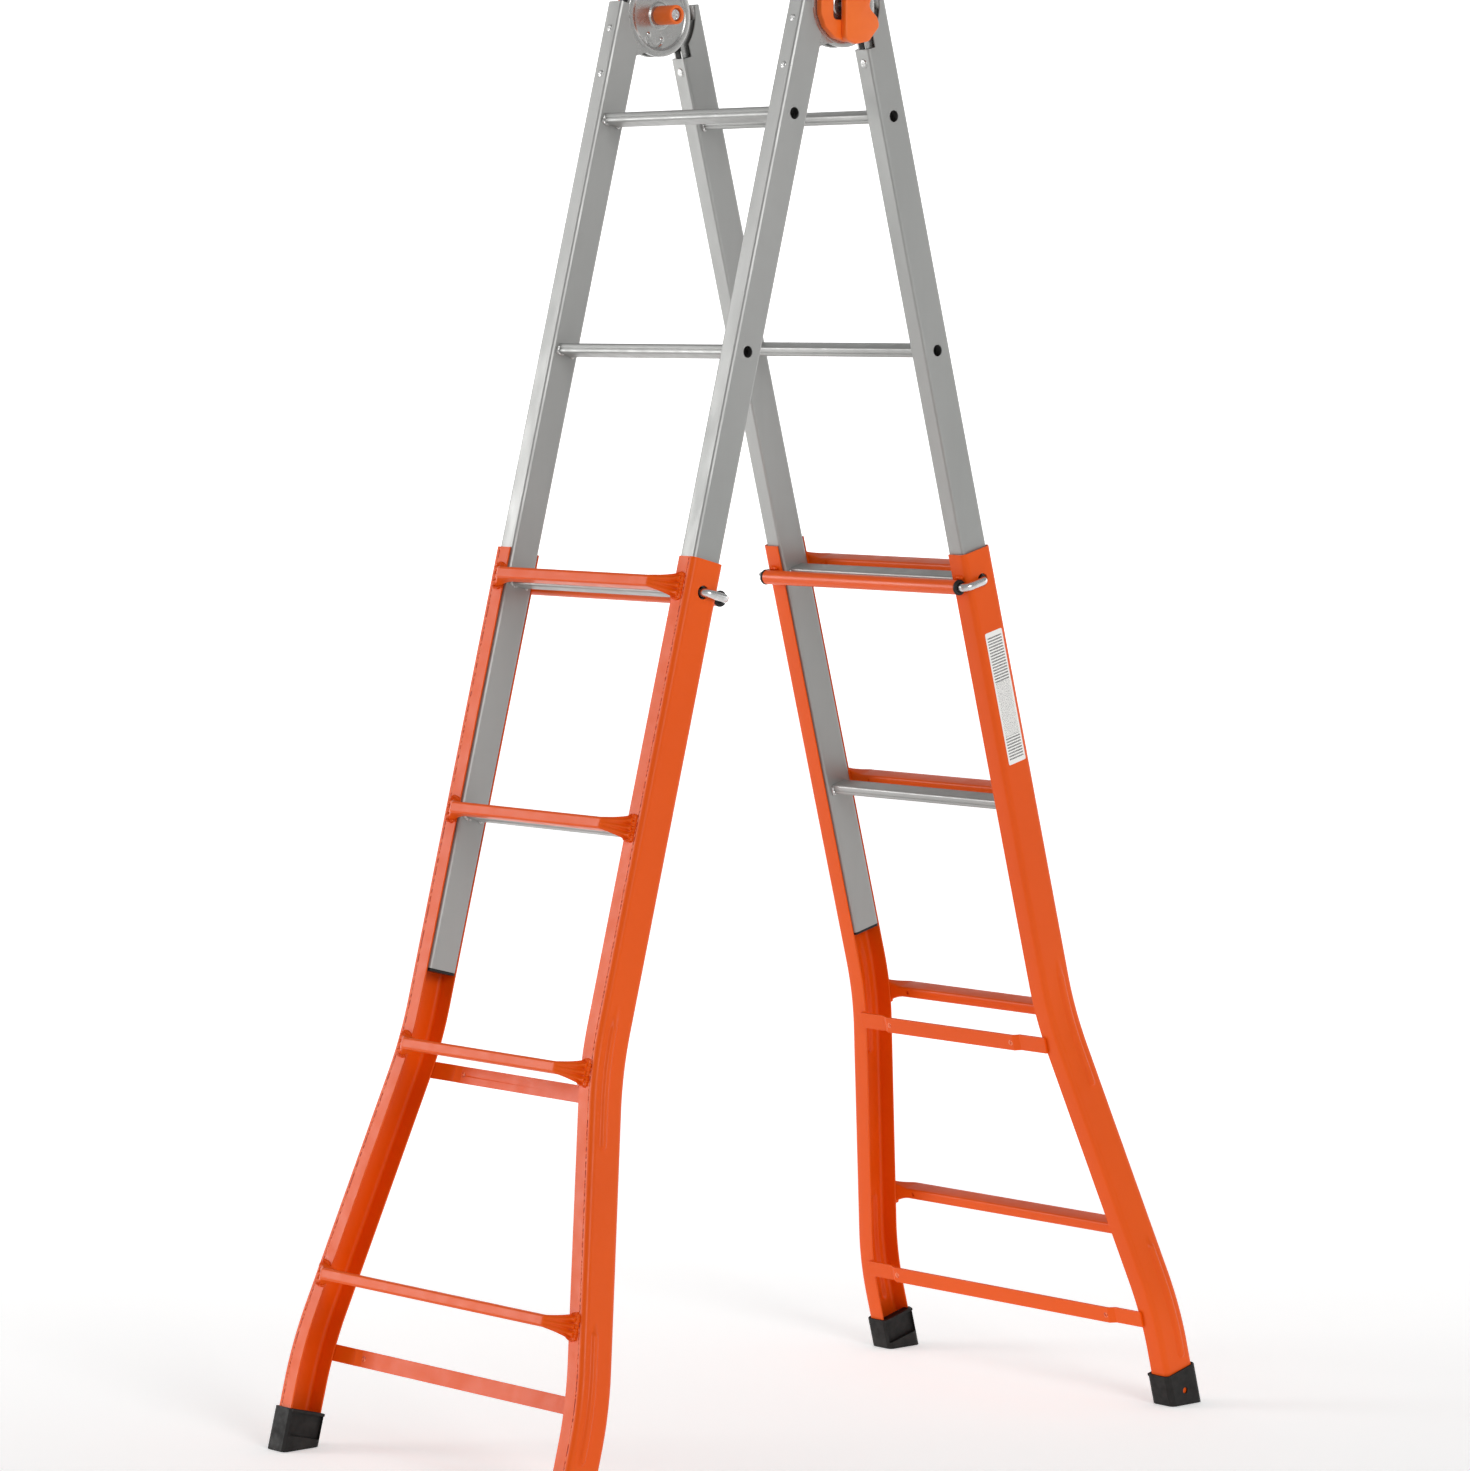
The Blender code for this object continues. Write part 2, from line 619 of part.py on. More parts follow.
def lever(side, sign, pull, axis):
    """The outside knob on its bolt, and the fixed sleeve that houses the bolt's head."""
    upright = (math.pi / 2, 0, 0)
    face = HINGE_Y + CHEEK_OUT + FIT_GAP
    half = [(-0.043, 0.012), (-0.036, 0.027), (-0.021, 0.039), (-0.003, 0.043),
            (0.014, 0.042), (0.024, 0.034)]
    body = rounded(half + mirrored(half), 0.006)
    slot = box(-0.024, 0.009, -0.018, 0.018, 0.005)
    knob = add(f"hinge_lever_{side}", plate([body, slot], LEVER_BASE), pull,
               (0, sign * (face + LEVER_BASE / 2), 0), KNOB, upright)
    half = [(-0.013, 0.041), (0.005, 0.0455), (0.024, 0.042), (0.041, 0.024),
            (0.037, 0.0135), (0.0255, 0.004)]
    wing = rounded(half + mirrored(half), 0.003)
    wing = add(f"{knob.name}_wing", plate([wing], LEVER_WING), pull,
               (0, sign * (face + LEVER_BASE + LEVER_WING / 2 - 0.0005), 0), turn=upright)
    boolean(knob, wing, "UNION")

    end = HINGE_Y - CHEEK_OUT - FIT_GAP
    back = end - SLEEVE_LENGTH
    head = SLEEVE_BORE - 2 * FIT_GAP
    start = back + BOLT_HEAD
    top = face + LEVER_BASE - BOLT_HEAD
    profile = [(0, start), (head, start), (head, start + BOLT_HEAD),
               (AXLE_R, start + BOLT_HEAD), (AXLE_R, top - BOLT_HEAD),
               (head, top - BOLT_HEAD), (head, top), (0, top)]
    add(f"hinge_bolt_{side}", turned(profile, 16), pull, (0, 0, 0), BRIGHT,
        (-sign * math.pi / 2, 0, 0))

    profile = [(AXLE_R + FIT_GAP, end - SLEEVE_FLOOR), (AXLE_R + FIT_GAP, end),
               (SLEEVE_R, end), (SLEEVE_R, back), (SLEEVE_BORE, back),
               (SLEEVE_BORE, end - SLEEVE_FLOOR)]
    add(f"hinge_sleeve_{side}", turned(profile, 18), axis, (0, 0, 0), KNOB,
        (-sign * math.pi / 2, 0, 0))


# ---- assembly ----------------------------------------------------------------------------

clear_scene()
ladder = new_collection("double_ladder")
cutters = new_collection("cutters", cutters=True)

hinge_axis = empty("hinge_axis", None, (0, 0, HINGE_HEIGHT))
LEGS = {
    "a": ((0, -HALF_OPENING, math.pi), {"near": 1, "far": -1}),
    "b": ((0, -HALF_OPENING, 0), {"near": -1, "far": 1}),
}
for tag, (turn, sides) in LEGS.items():
    leg = empty(f"leg_{tag}", hinge_axis, (0, 0, 0), turn)
    slider = empty(f"slide_{tag}", leg, (0, 0, 0))
    inner_frame(tag, leg, sides)
    outer_frame(tag, slider, sides)
    locks(tag, slider, sides)
    for side, sign in sides.items():
        hinge_half(f"hinge_plate_{tag}_{side}", leg, sign, outer=tag == "a")
        if tag == "b":
            guard(f"hinge_guard_{side}", leg, sign)
for side, sign in (("near", -1), ("far", 1)):
    pull = empty(f"lever_{side}_pull", hinge_axis, (0, 0, 0))
    lever(side, sign, pull, hinge_axis)
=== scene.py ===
import json
import math

import bmesh
import bpy
from mathutils import Matrix, Vector, noise


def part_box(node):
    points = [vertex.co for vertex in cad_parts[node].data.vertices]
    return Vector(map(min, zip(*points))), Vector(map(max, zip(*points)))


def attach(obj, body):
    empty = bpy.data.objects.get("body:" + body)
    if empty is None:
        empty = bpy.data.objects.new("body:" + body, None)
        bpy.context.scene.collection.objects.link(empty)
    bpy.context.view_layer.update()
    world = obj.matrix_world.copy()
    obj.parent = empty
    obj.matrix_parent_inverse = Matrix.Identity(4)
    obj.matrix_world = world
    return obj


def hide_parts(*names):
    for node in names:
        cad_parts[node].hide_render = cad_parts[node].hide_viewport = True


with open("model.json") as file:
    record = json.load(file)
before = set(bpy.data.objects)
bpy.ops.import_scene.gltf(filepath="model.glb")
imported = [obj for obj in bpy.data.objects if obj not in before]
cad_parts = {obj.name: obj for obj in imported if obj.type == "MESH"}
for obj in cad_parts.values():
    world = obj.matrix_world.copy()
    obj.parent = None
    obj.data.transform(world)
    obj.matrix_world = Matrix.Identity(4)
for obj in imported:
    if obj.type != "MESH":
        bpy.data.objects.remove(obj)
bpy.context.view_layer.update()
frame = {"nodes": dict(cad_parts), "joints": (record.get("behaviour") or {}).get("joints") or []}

joints = {joint["name"]: joint for joint in frame["joints"]}
scene = bpy.context.scene

# ---- Studio ------------------------------------------------------------------------------
# A pale floor that turns up into a round wall, big soft panels, and the camera at chest
# height off the ladder's near corner.

hinge_z = joints["fold"]["pos_m"][2]

eye = bpy.data.cameras.new("eye")
eye.sensor_width = 36
eye.lens = 135.5
eye.shift_y = 0.049
eye.clip_end = 60
camera = bpy.data.objects.new("camera", eye)
camera.location = (-4.374, -4.919, hinge_z - 0.3475)
camera.rotation_euler = (math.radians(90 - 5.17), 0, math.radians(-41.55))
scene.collection.objects.link(camera)
scene.camera = camera
scene.view_settings.view_transform = "Standard"

wall = bmesh.new()
floor_reach, cove = 18.0, 4.0
sweep = [(0.02, 0.0), (4.0, 0.0), (floor_reach, 0.0)]
for k in range(1, 9):
    turn = math.pi * k / 16
    sweep.append((floor_reach + cove * math.sin(turn), cove - cove * math.cos(turn)))
sweep.append((floor_reach + cove, 2 * cove))
profile = [wall.verts.new((radius, 0, height)) for radius, height in sweep]
edges = [wall.edges.new(pair) for pair in zip(profile, profile[1:])]
bmesh.ops.spin(wall, geom=profile + edges, cent=(0, 0, 0), axis=(0, 0, 1),
               angle=2 * math.pi, steps=96, use_merge=True)
bmesh.ops.contextual_create(wall, geom=[v for v in wall.verts if v.co.xy.length < 0.03])
bmesh.ops.recalc_face_normals(wall, faces=wall.faces)
paper = bpy.data.meshes.new("studio_floor")
wall.to_mesh(paper)
wall.free()
paper.polygons.foreach_set("use_smooth", [True] * len(paper.polygons))
floor = bpy.data.objects.new("studio_floor", paper)
floor.location.z = -0.0006
scene.collection.objects.link(floor)
chalk = bpy.data.materials.new("studio_white")
chalk.use_nodes = True
matt = chalk.node_tree.nodes["Principled BSDF"]
matt.inputs["Roughness"].default_value = 0.9
matt.inputs["Specular IOR Level"].default_value = 0.1
cloud = chalk.node_tree.nodes.new("ShaderNodeTexNoise")
cloud.inputs["Scale"].default_value = 3
pale = chalk.node_tree.nodes.new("ShaderNodeMix")
pale.data_type = "RGBA"
pale.inputs[6].default_value = (0.90, 0.90, 0.895, 1)
pale.inputs[7].default_value = (0.92, 0.92, 0.92, 1)
chalk.node_tree.links.new(cloud.outputs["Fac"], pale.inputs["Factor"])
chalk.node_tree.links.new(pale.outputs[2], matt.inputs["Base Color"])
# Painted light: the floor and wall glow by themselves, faintly on the camera's side and brighter
# behind the ladder. This gradient of emission stands in for light falling on the backdrop.
spot = chalk.node_tree.nodes.new("ShaderNodeTexCoord")
depth = chalk.node_tree.nodes.new("ShaderNodeVectorMath")
depth.operation = "DOT_PRODUCT"
depth.inputs[1].default_value = (0.664, 0.748, 0)
glow = chalk.node_tree.nodes.new("ShaderNodeMapRange")
for socket, value in (("From Min", -3.0), ("From Max", 3.0),
                      ("To Min", 0.02), ("To Max", 0.70)):
    glow.inputs[socket].default_value = value
chalk.node_tree.links.new(spot.outputs["Object"], depth.inputs[0])
chalk.node_tree.links.new(depth.outputs["Value"], glow.inputs["Value"])
chalk.node_tree.links.new(glow.outputs["Result"], matt.inputs["Emission Strength"])
matt.inputs["Emission Color"].default_value = (1, 1, 1, 1)
paper.materials.append(chalk)

sky = bpy.data.worlds.new("studio")
sky.use_nodes = True
sky.node_tree.nodes["Background"].inputs["Color"].default_value = (1, 1, 1, 1)
sky.node_tree.nodes["Background"].inputs["Strength"].default_value = 0.36
scene.world = sky


def panel(name, place, size, power):
    light = bpy.data.lights.new(name, "AREA")
    light.energy = power
    light.size = size
    stand = bpy.data.objects.new(name, light)
    stand.location = place
    aim = Vector((0, 0, 0.8)) - Vector(place)
    stand.rotation_euler = aim.to_track_quat("-Z", "Y").to_euler()
    scene.collection.objects.link(stand)


panel("left_panel", (-4.8, 4.9, 1.9), 2.8, 150)
panel("front_panel", (-1.6, -6.8, 3.4), 2.4, 172)

# ---- The two legs' own directions --------------------------------------------------------
# Each leg has X away from the other leg, Y along its rungs and Z up its stiles, with zero on
# the hinge axis, so one set of sizes serves both. A is the left leg and B the right one.


def leg_frame(tag):
    up = -Vector(joints[f"extend_{tag}"]["axis"])
    rungs = Vector((0, 1 if tag == "b" else -1, 0))
    made = Matrix((rungs.cross(up), rungs, up)).transposed().to_4x4()
    made.translation = (0, 0, hinge_z)
    return made


legs = {tag: leg_frame(tag) for tag in "ab"}
near_far = {"a": {"near": 1, "far": -1}, "b": {"near": -1, "far": 1}}
both_sides = (("near", -1), ("far", 1))


def down_leg(node):
    """How far below the hinge axis a node's middle is, along its leg."""
    low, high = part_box(node)
    tag = "a" if (low + high).x < 0 else "b"
    return -(legs[tag].inverted() @ ((low + high) / 2)).z


# ---- Inner stiles ------------------------------------------------------------------------
# Folded steel tube, 40 by 25 mm with small round corners, under a satin grey coat. Each has
# a hole on its outside face at every rung, for the lock pins.


def new_coat(name, metallic, roughness):
    coat = bpy.data.materials.new(name)
    coat.use_nodes = True
    shader = coat.node_tree.nodes["Principled BSDF"]
    shader.inputs["Metallic"].default_value = metallic
    shader.inputs["Roughness"].default_value = roughness
    return coat


def grain(coat, scale, stretch=(1, 1, 1), detail=3):
    """A noise fixed to the piece, drawn out along an axis whose stretch is small."""
    nodes, links = coat.node_tree.nodes, coat.node_tree.links
    place = nodes.new("ShaderNodeTexCoord")
    drawn = nodes.new("ShaderNodeMapping")
    drawn.inputs["Scale"].default_value = stretch
    links.new(place.outputs["Object"], drawn.inputs["Vector"])
    spots = nodes.new("ShaderNodeTexNoise")
    spots.inputs["Scale"].default_value = scale
    spots.inputs["Detail"].default_value = detail
    links.new(drawn.outputs["Vector"], spots.inputs["Vector"])
    return spots.outputs["Fac"]


def tones(coat, pattern, *stops):
    """Base colour from a pattern, through stops of (position, colour)."""
    ramp = coat.node_tree.nodes.new("ShaderNodeValToRGB")
    while len(ramp.color_ramp.elements) < len(stops):
        ramp.color_ramp.elements.new(0.5)
    for element, (position, colour) in zip(ramp.color_ramp.elements, stops):
        element.position = position
        element.color = (*colour, 1)
    coat.node_tree.links.new(pattern, ramp.inputs["Fac"])
    shader = coat.node_tree.nodes["Principled BSDF"]
    coat.node_tree.links.new(ramp.outputs["Color"], shader.inputs["Base Color"])


def gloss(coat, pattern, low, high):
    """Roughness between two values, from a pattern."""
    span = coat.node_tree.nodes.new("ShaderNodeMapRange")
    span.inputs["From Min"].default_value = 0.3
    span.inputs["From Max"].default_value = 0.7
    span.inputs["To Min"].default_value = low
    span.inputs["To Max"].default_value = high
    coat.node_tree.links.new(pattern, span.inputs["Value"])
    shader = coat.node_tree.nodes["Principled BSDF"]
    coat.node_tree.links.new(span.outputs["Result"], shader.inputs["Roughness"])


def relief(coat, pattern, strength, depth):
    """Bumps from a pattern, on top of any bumps the coat already has."""
    nodes, links = coat.node_tree.nodes, coat.node_tree.links
    shader = nodes["Principled BSDF"]
    bumps = nodes.new("ShaderNodeBump")
    bumps.inputs["Strength"].default_value = strength
    bumps.inputs["Distance"].default_value = depth
    links.new(pattern, bumps.inputs["Height"])
    for link in shader.inputs["Normal"].links:
        links.new(link.from_socket, bumps.inputs["Normal"])
    links.new(bumps.outputs["Normal"], shader.inputs["Normal"])


grey_coat = new_coat("satin_grey_coat", 0.55, 0.4)
tones(grey_coat, grain(grey_coat, 5, (1, 1, 0.25)), (0.3, (0.36, 0.365, 0.355)),
      (0.7, (0.42, 0.42, 0.41)))
gloss(grey_coat, grain(grey_coat, 60, (1, 1, 0.08)), 0.34, 0.5)
relief(grey_coat, grain(grey_coat, 1400, detail=2), 0.12, 0.00015)
relief(grey_coat, grain(grey_coat, 90, (1, 1, 0.05)), 0.12, 0.0002)


def finish(node, material, edge=0.0):
    """A solid from the frame, with its own coat and, if edge is given, broken edges."""
    piece = frame["nodes"][node]
    for holder in piece.material_slots:
        holder.material = material
    if edge:
        weld = piece.modifiers.new("joined", "WELD")
        weld.merge_threshold = 0.00002
        broken = piece.modifiers.new("edge", "BEVEL")
        broken.width = edge
        broken.segments = 2
        broken.limit_method = "ANGLE"
        broken.angle_limit = math.radians(40)


for tag in "ab":
    for side in ("near", "far"):
        finish(f"inner_{tag}_stile_{side}", grey_coat)

# ---- Inner rungs -------------------------------------------------------------------------
# Flat-oval steel tube with a rolled groove along each narrow face, welded between the
# stiles. The welds are short bright runs at the corners.

rung_depth, rung_height, rung_reach = 0.025, 0.012, 0.1497
stile_middle = 0.0435


def rounded(corners, radius, steps=4):
    """A polygon with its corners turned into arcs."""
    made = []
    for i, corner in enumerate(corners):
        here = Vector(corner)
        back = (Vector(corners[i - 1]) - here).normalized()
        ahead = (Vector(corners[(i + 1) % len(corners)]) - here).normalized()
        half = back.angle(ahead) / 2
        if half > 1.5 or radius == 0:
            made.append(tuple(here))
            continue
        centre = here + (back + ahead).normalized() * (radius / math.sin(half))
        first = here + back * (radius / math.tan(half)) - centre
        sweep = first.angle_signed(here + ahead * (radius / math.tan(half)) - centre)
        for k in range(steps + 1):
            point = first.copy()
            point.rotate(Matrix.Rotation(-sweep * k / steps, 2))
            made.append(tuple(centre + point))
    return made


def mesh_from(shape):
    bmesh.ops.recalc_face_normals(shape, faces=shape.faces)
    mesh = bpy.data.meshes.new("made")
    shape.to_mesh(mesh)
    shape.free()
    return mesh


def skin(rings):
    """A mesh through rings of points, closed over the two end rings."""
    shape = bmesh.new()
    rows = [[shape.verts.new(point) for point in ring] for ring in rings]
    count = len(rows[0])
    for low, high in zip(rows, rows[1:]):
        for i in range(count):
            j = (i + 1) % count
            shape.faces.new((low[i], low[j], high[j], high[i]))
    shape.faces.new(rows[0])
    shape.faces.new(rows[-1])
    return mesh_from(shape)


def tube(path, radius, sides):
    """A round bar along a path, its radius a function of the point's number."""
    points = [Vector(point) for point in path]
    rings = []
    across = None
    for i, point in enumerate(points):
        ahead = points[min(i + 1, len(points) - 1)] - points[max(i - 1, 0)]
        ahead.normalize()
        if across is None:
            across = ahead.orthogonal().normalized()
        across = (across - ahead * across.dot(ahead)).normalized()
        over = ahead.cross(across)
        r = radius(i)
        turns = [2 * math.pi * k / sides for k in range(sides)]
        rings.append([point + across * r * math.cos(a) + over * r * math.sin(a)
                      for a in turns])
    return skin(rings)


def fit(name, mesh, place, body, material, stands_for=(), sharp=35):
    """A finished piece in its leg's directions, moving with a body of the frame."""
    mesh.name = name
    piece = bpy.data.objects.new(name, mesh)
    scene.collection.objects.link(piece)
    piece.matrix_world = place
    mesh.polygons.foreach_set("use_smooth", [True] * len(mesh.polygons))
    mesh.set_sharp_from_angle(angle=math.radians(sharp))
    if not mesh.materials:
        mesh.materials.append(material)
    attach(piece, body)
    if stands_for:
        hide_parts(*stands_for)
    return piece


def weld_run(points, radius, seed):
    """A weld bead: a bar whose thickness comes and goes in small ripples."""
    dense = []
    ripple_gap = 0.0009
    for start, end in zip(points, points[1:]):
        count = max(2, round((Vector(end) - Vector(start)).length / ripple_gap))
        dense += [Vector(start).lerp(Vector(end), k / count) for k in range(count)]
    dense.append(Vector(points[-1]))
    last = len(dense) - 1

    def thick(i):
        taper = min(1, (i + 1) / 3, (last - i + 1) / 3)
        chance = noise.noise(Vector((seed, i * 0.35, 0)))
        ripple = 1 + 0.22 * math.sin(i * 1.7) + 0.35 * chance
        return radius * taper * ripple

    return tube(dense, thick, 8)


weld_metal = new_coat("weld_metal", 0.9, 0.3)
tones(weld_metal, grain(weld_metal, 500), (0.35, (0.45, 0.45, 0.44)),
      (0.7, (0.75, 0.75, 0.74)))
gloss(weld_metal, grain(weld_metal, 700), 0.22, 0.45)
relief(weld_metal, grain(weld_metal, 900), 0.4, 0.0003)

half_deep, half_tall = rung_depth / 2, rung_height / 2
groove, tube_corner, corner_steps = 0.0007, 0.0028, 5
section = rounded([(-half_deep, -half_tall), (half_deep, -half_tall), (half_deep, half_tall),
                   (-half_deep, half_tall)], tube_corner, corner_steps)
# The two narrow faces start after the second corner's last point and after the fourth's.
face_starts = (section[2 * (corner_steps + 1) - 1], section[-1])
with_grooves = []
for x, z in section:
    with_grooves.append((x, z))
    if (x, z) in face_starts:
        face = math.copysign(half_deep, x)
        inside = face - math.copysign(groove, x)
        drop = [(face, 0.0000), (inside, -0.0006), (inside, -0.0012), (face, -0.0018)]
        with_grooves += drop if x < 0 else reversed(drop)

for tag in "ab":
    for number in range(1, 5):
        node = f"inner_{tag}_rung_{number}"
        z0 = -down_leg(node)
        rings = [[(stile_middle + x, y, z0 + z) for x, z in with_grooves]
                 for y in (-rung_reach, 0, rung_reach)]
        fit(f"rung_tube_{tag}_{number}", skin(rings), legs[tag], f"inner_{tag}", grey_coat,
            [node], 30)
        for side, sign in near_far[tag].items():
            y = sign * (rung_reach - 0.0008)
            front, back = stile_middle + half_deep, stile_middle - half_deep
            under = z0 - half_tall
            run = [(front, y, z0 + 0.003), (front + 0.0004, y, under + 0.001),
                   (front - 0.004, y, under - 0.0004), (front - 0.010, y, under)]
            fit(f"rung_weld_{tag}_{number}_{side}", weld_run(run, 0.0019, number + sign),
                legs[tag], f"inner_{tag}", weld_metal)
            run = [(back, y, z0 + half_tall - 0.002), (back, y, under),
                   (back + 0.004, y, under - 0.0003)]
            fit(f"rung_weld_back_{tag}_{number}_{side}",
                weld_run(run, 0.0017, number + 7 * sign), legs[tag], f"inner_{tag}",
                weld_metal)

# ---- Plugs in the inner stiles -----------------------------------------------------------
# Black moulded plugs pressed into the open ends of the tubes. Only the lip shows.

black_plastic = new_coat("black_moulding", 0.0, 0.5)
plastic_shader = black_plastic.node_tree.nodes["Principled BSDF"]
plastic_shader.inputs["Specular IOR Level"].default_value = 0.35
tones(black_plastic, grain(black_plastic, 40), (0.3, (0.006, 0.006, 0.006)),
      (0.75, (0.014, 0.013, 0.013)))
gloss(black_plastic, grain(black_plastic, 300), 0.42, 0.6)
relief(black_plastic, grain(black_plastic, 1800), 0.25, 0.0002)
for tag in "ab":
    for side in ("near", "far"):
        finish(f"inner_{tag}_cap_{side}", black_plastic, 0.0006)

# ---- Hinge discs -------------------------------------------------------------------------
# Two pressed steel discs to each leg, dished inside a flat rim, on arms that run down inside
# the stile. Leg A's pair is outside and shows; leg B's pair turns between them.

disc_r, cheek, cheek_out, axle_r = 0.049, 0.0028, 0.0107, 0.0043
hinge_y = 0.1625

hinge_metal = new_coat("hinge_metal", 0.85, 0.3)
tones(hinge_metal, grain(hinge_metal, 30), (0.3, (0.44, 0.44, 0.43)),
      (0.7, (0.50, 0.50, 0.49)))
gloss(hinge_metal, grain(hinge_metal, 120), 0.2, 0.3)
relief(hinge_metal, grain(hinge_metal, 1200), 0.04, 0.0001)
relief(hinge_metal, grain(hinge_metal, 45), 0.05, 0.0003)


def step_up(value, start, end):
    share = min(1, max(0, (value - start) / (end - start)))
    return share * share * (3 - 2 * share)


def disc_height(x, z):
    """The pressed face: a flat rim, a dish, a smile-shaped groove and two pips above it."""
    dish, smile_z, smile_r, smile_deep, smile_wide = 0.0013, -0.0255, 0.0125, 0.0018, 0.0013
    pip_x, pip_z, pip_tall, pip_wide = 0.0105, -0.0265, 0.0022, 0.0018
    r = math.hypot(x, z)
    height = -dish * (1 - step_up(r, 0.0385, 0.0425))
    height += dish * (1 - step_up(r, 0.0145, 0.0165))
    from_centre = math.hypot(x, z - smile_z)
    around = math.degrees(math.atan2(z - smile_z, x))
    if -160 < around < -20:
        height -= smile_deep * math.exp(-((from_centre - smile_r) / smile_wide) ** 2)
    for pip in (-pip_x, pip_x):
        height += pip_tall * math.exp(-((x - pip) ** 2 + (z - pip_z) ** 2) / pip_wide ** 2)
    return height


def pressed_disc(shape, radii, height, outer, inner, turns):
    """Adds a round plate in the X-Z plane: its face at outer has a height, its back is flat."""
    way = math.copysign(1, outer - inner)
    angles = [2 * math.pi * k / turns for k in range(turns)]
    rows = []
    for r in radii:
        rows.append([shape.verts.new((r * math.cos(a), outer
                     + way * height(r * math.cos(a), r * math.sin(a)), r * math.sin(a)))
                     for a in angles])
    for r in (radii[-1], radii[0]):
        rows.append([shape.verts.new((r * math.cos(a), inner, r * math.sin(a)))
                     for a in angles])
    for low, high in zip(rows, rows[1:] + rows[:1]):
        for i in range(turns):
            j = (i + 1) % turns
            shape.faces.new((low[i], low[j], high[j], high[i]))


def slab_into(shape, outline, y0, y1):
    """Adds a flat plate with an outline in X and Z, between two values of Y."""
    low = [shape.verts.new((x, y0, z)) for x, z in outline]
    high = [shape.verts.new((x, y1, z)) for x, z in outline]
    count = len(outline)
    for i in range(count):
        j = (i + 1) % count
        shape.faces.new((low[i], low[j], high[j], high[i]))
    shape.faces.new(low)
    shape.faces.new(high)


disc_rings = [axle_r, 0.009, 0.0142] + [0.0147 + 0.0006 * k for k in range(4)]
disc_rings += [0.018 + 0.0008 * k for k in range(24)]
disc_rings += [0.0380 + 0.0006 * k for k in range(9)] + [0.0450, disc_r - 0.0008, disc_r]
arm = [(0.004, -0.0470), (0.012, -0.0500), (0.0232, -0.0565), (0.0253, -0.0565),
       (0.0253, -0.1040), (0.0617, -0.1040), (0.0617, -0.0168), (0.0440, -0.0168),
       (0.0400, -0.0250), (0.0300, -0.0350)]


def face_height(x, z):
    """The pressed face with its outer edge rolled over."""
    edge_drop = -0.0006 * step_up(math.hypot(x, z), disc_r - 0.0013, disc_r)
    return disc_height(x, z) + edge_drop


for side, sign in near_far["a"].items():
    shape = bmesh.new()
    for way in (1, -1):
        outer = sign * hinge_y + way * cheek_out
        inner = outer - way * cheek
        pressed_disc(shape, disc_rings, face_height, outer, inner, 192)
        slab_into(shape, arm, outer - way * 0.0001, inner + way * 0.0001)
    fit(f"hinge_discs_a_{side}", mesh_from(shape), legs["a"], "inner_a", hinge_metal,
        [f"hinge_plate_a_{side}"], 40)
    finish(f"hinge_plate_b_{side}", hinge_metal, 0.0004)

# ---- Hinge guards ------------------------------------------------------------------------
# A black plastic strip round the back of each pair of discs, which keeps fingers out of the
# gap to leg B's stile and ends in a short tail.


def moulded(outlines, thickness, edge, middle_y):
    """A flat moulding in the X-Z plane with rounded edges, centred on middle_y."""
    line = bpy.data.curves.new("outline", "CURVE")
    line.dimensions = "2D"
    line.fill_mode = "BOTH"
    line.bevel_depth = edge
    line.bevel_resolution = 3
    line.offset = -edge
    line.extrude = thickness / 2 - edge
    for outline in outlines:
        loop = line.splines.new("POLY")
        loop.points.add(len(outline) - 1)
        for point, (x, z) in zip(loop.points, outline):
            point.co = (x, z, 0, 1)
        loop.use_cyclic_u = True
    holder = bpy.data.objects.new("outline", line)
    scene.collection.objects.link(holder)
    mesh = bpy.data.meshes.new_from_object(
        holder.evaluated_get(bpy.context.evaluated_depsgraph_get()))
    bpy.data.objects.remove(holder)
    mesh.transform(Matrix.Translation((0, middle_y, 0)) @ Matrix.Rotation(math.pi / 2, 4, "X"))
    shape = bmesh.new()
    shape.from_mesh(mesh)
    bmesh.ops.remove_doubles(shape, verts=shape.verts, dist=1e-6)
    bpy.data.meshes.remove(mesh)
    return mesh_from(shape)


guard_low, guard_high = disc_r + 0.0006, disc_r + 0.0042
stile_in, guard_tail = 0.0235, 0.0578
guard_wide, tail_wide, guard_edge = 0.0095, 0.0088, 0.0011


def arc(radius, start, end, steps):
    turns = [math.radians(start + (end - start) * k / steps) for k in range(steps + 1)]
    return [(radius * math.cos(a), radius * math.sin(a)) for a in turns]


for side, sign in near_far["b"].items():
    outline = arc(guard_high, -5, -44, 30)
    outline += [(stile_in + tail_wide + 0.003, -0.0445), (stile_in + tail_wide, -0.0490),
                (stile_in + tail_wide, -guard_tail), (stile_in + 0.001, -guard_tail),
                (stile_in + 0.0015, -0.0530), (stile_in + 0.0005, -0.0498),
                (stile_in - 0.003, -0.0490)]
    outline += arc(guard_low, -65, -5, 40)
    mesh = moulded([outline], guard_wide, guard_edge, sign * hinge_y)
    fit(f"guard_strip_{side}", mesh, legs["b"], "inner_b", black_plastic,
        [f"hinge_guard_{side}"], 50)

# ---- Sleeves, bolts and levers -----------------------------------------------------------
# Each hinge is locked by a steel bolt in an orange moulded sleeve on the inside, pulled out
# by a thick orange lever on the outside. The bolt's head shows in the lever's slot.

orange_plastic = new_coat("orange_moulding", 0.0, 0.35)
tones(orange_plastic, grain(orange_plastic, 25), (0.3, (0.86, 0.135, 0.008)),
      (0.7, (0.93, 0.165, 0.012)))
gloss(orange_plastic, grain(orange_plastic, 200), 0.32, 0.46)
relief(orange_plastic, grain(orange_plastic, 1500), 0.15, 0.00015)

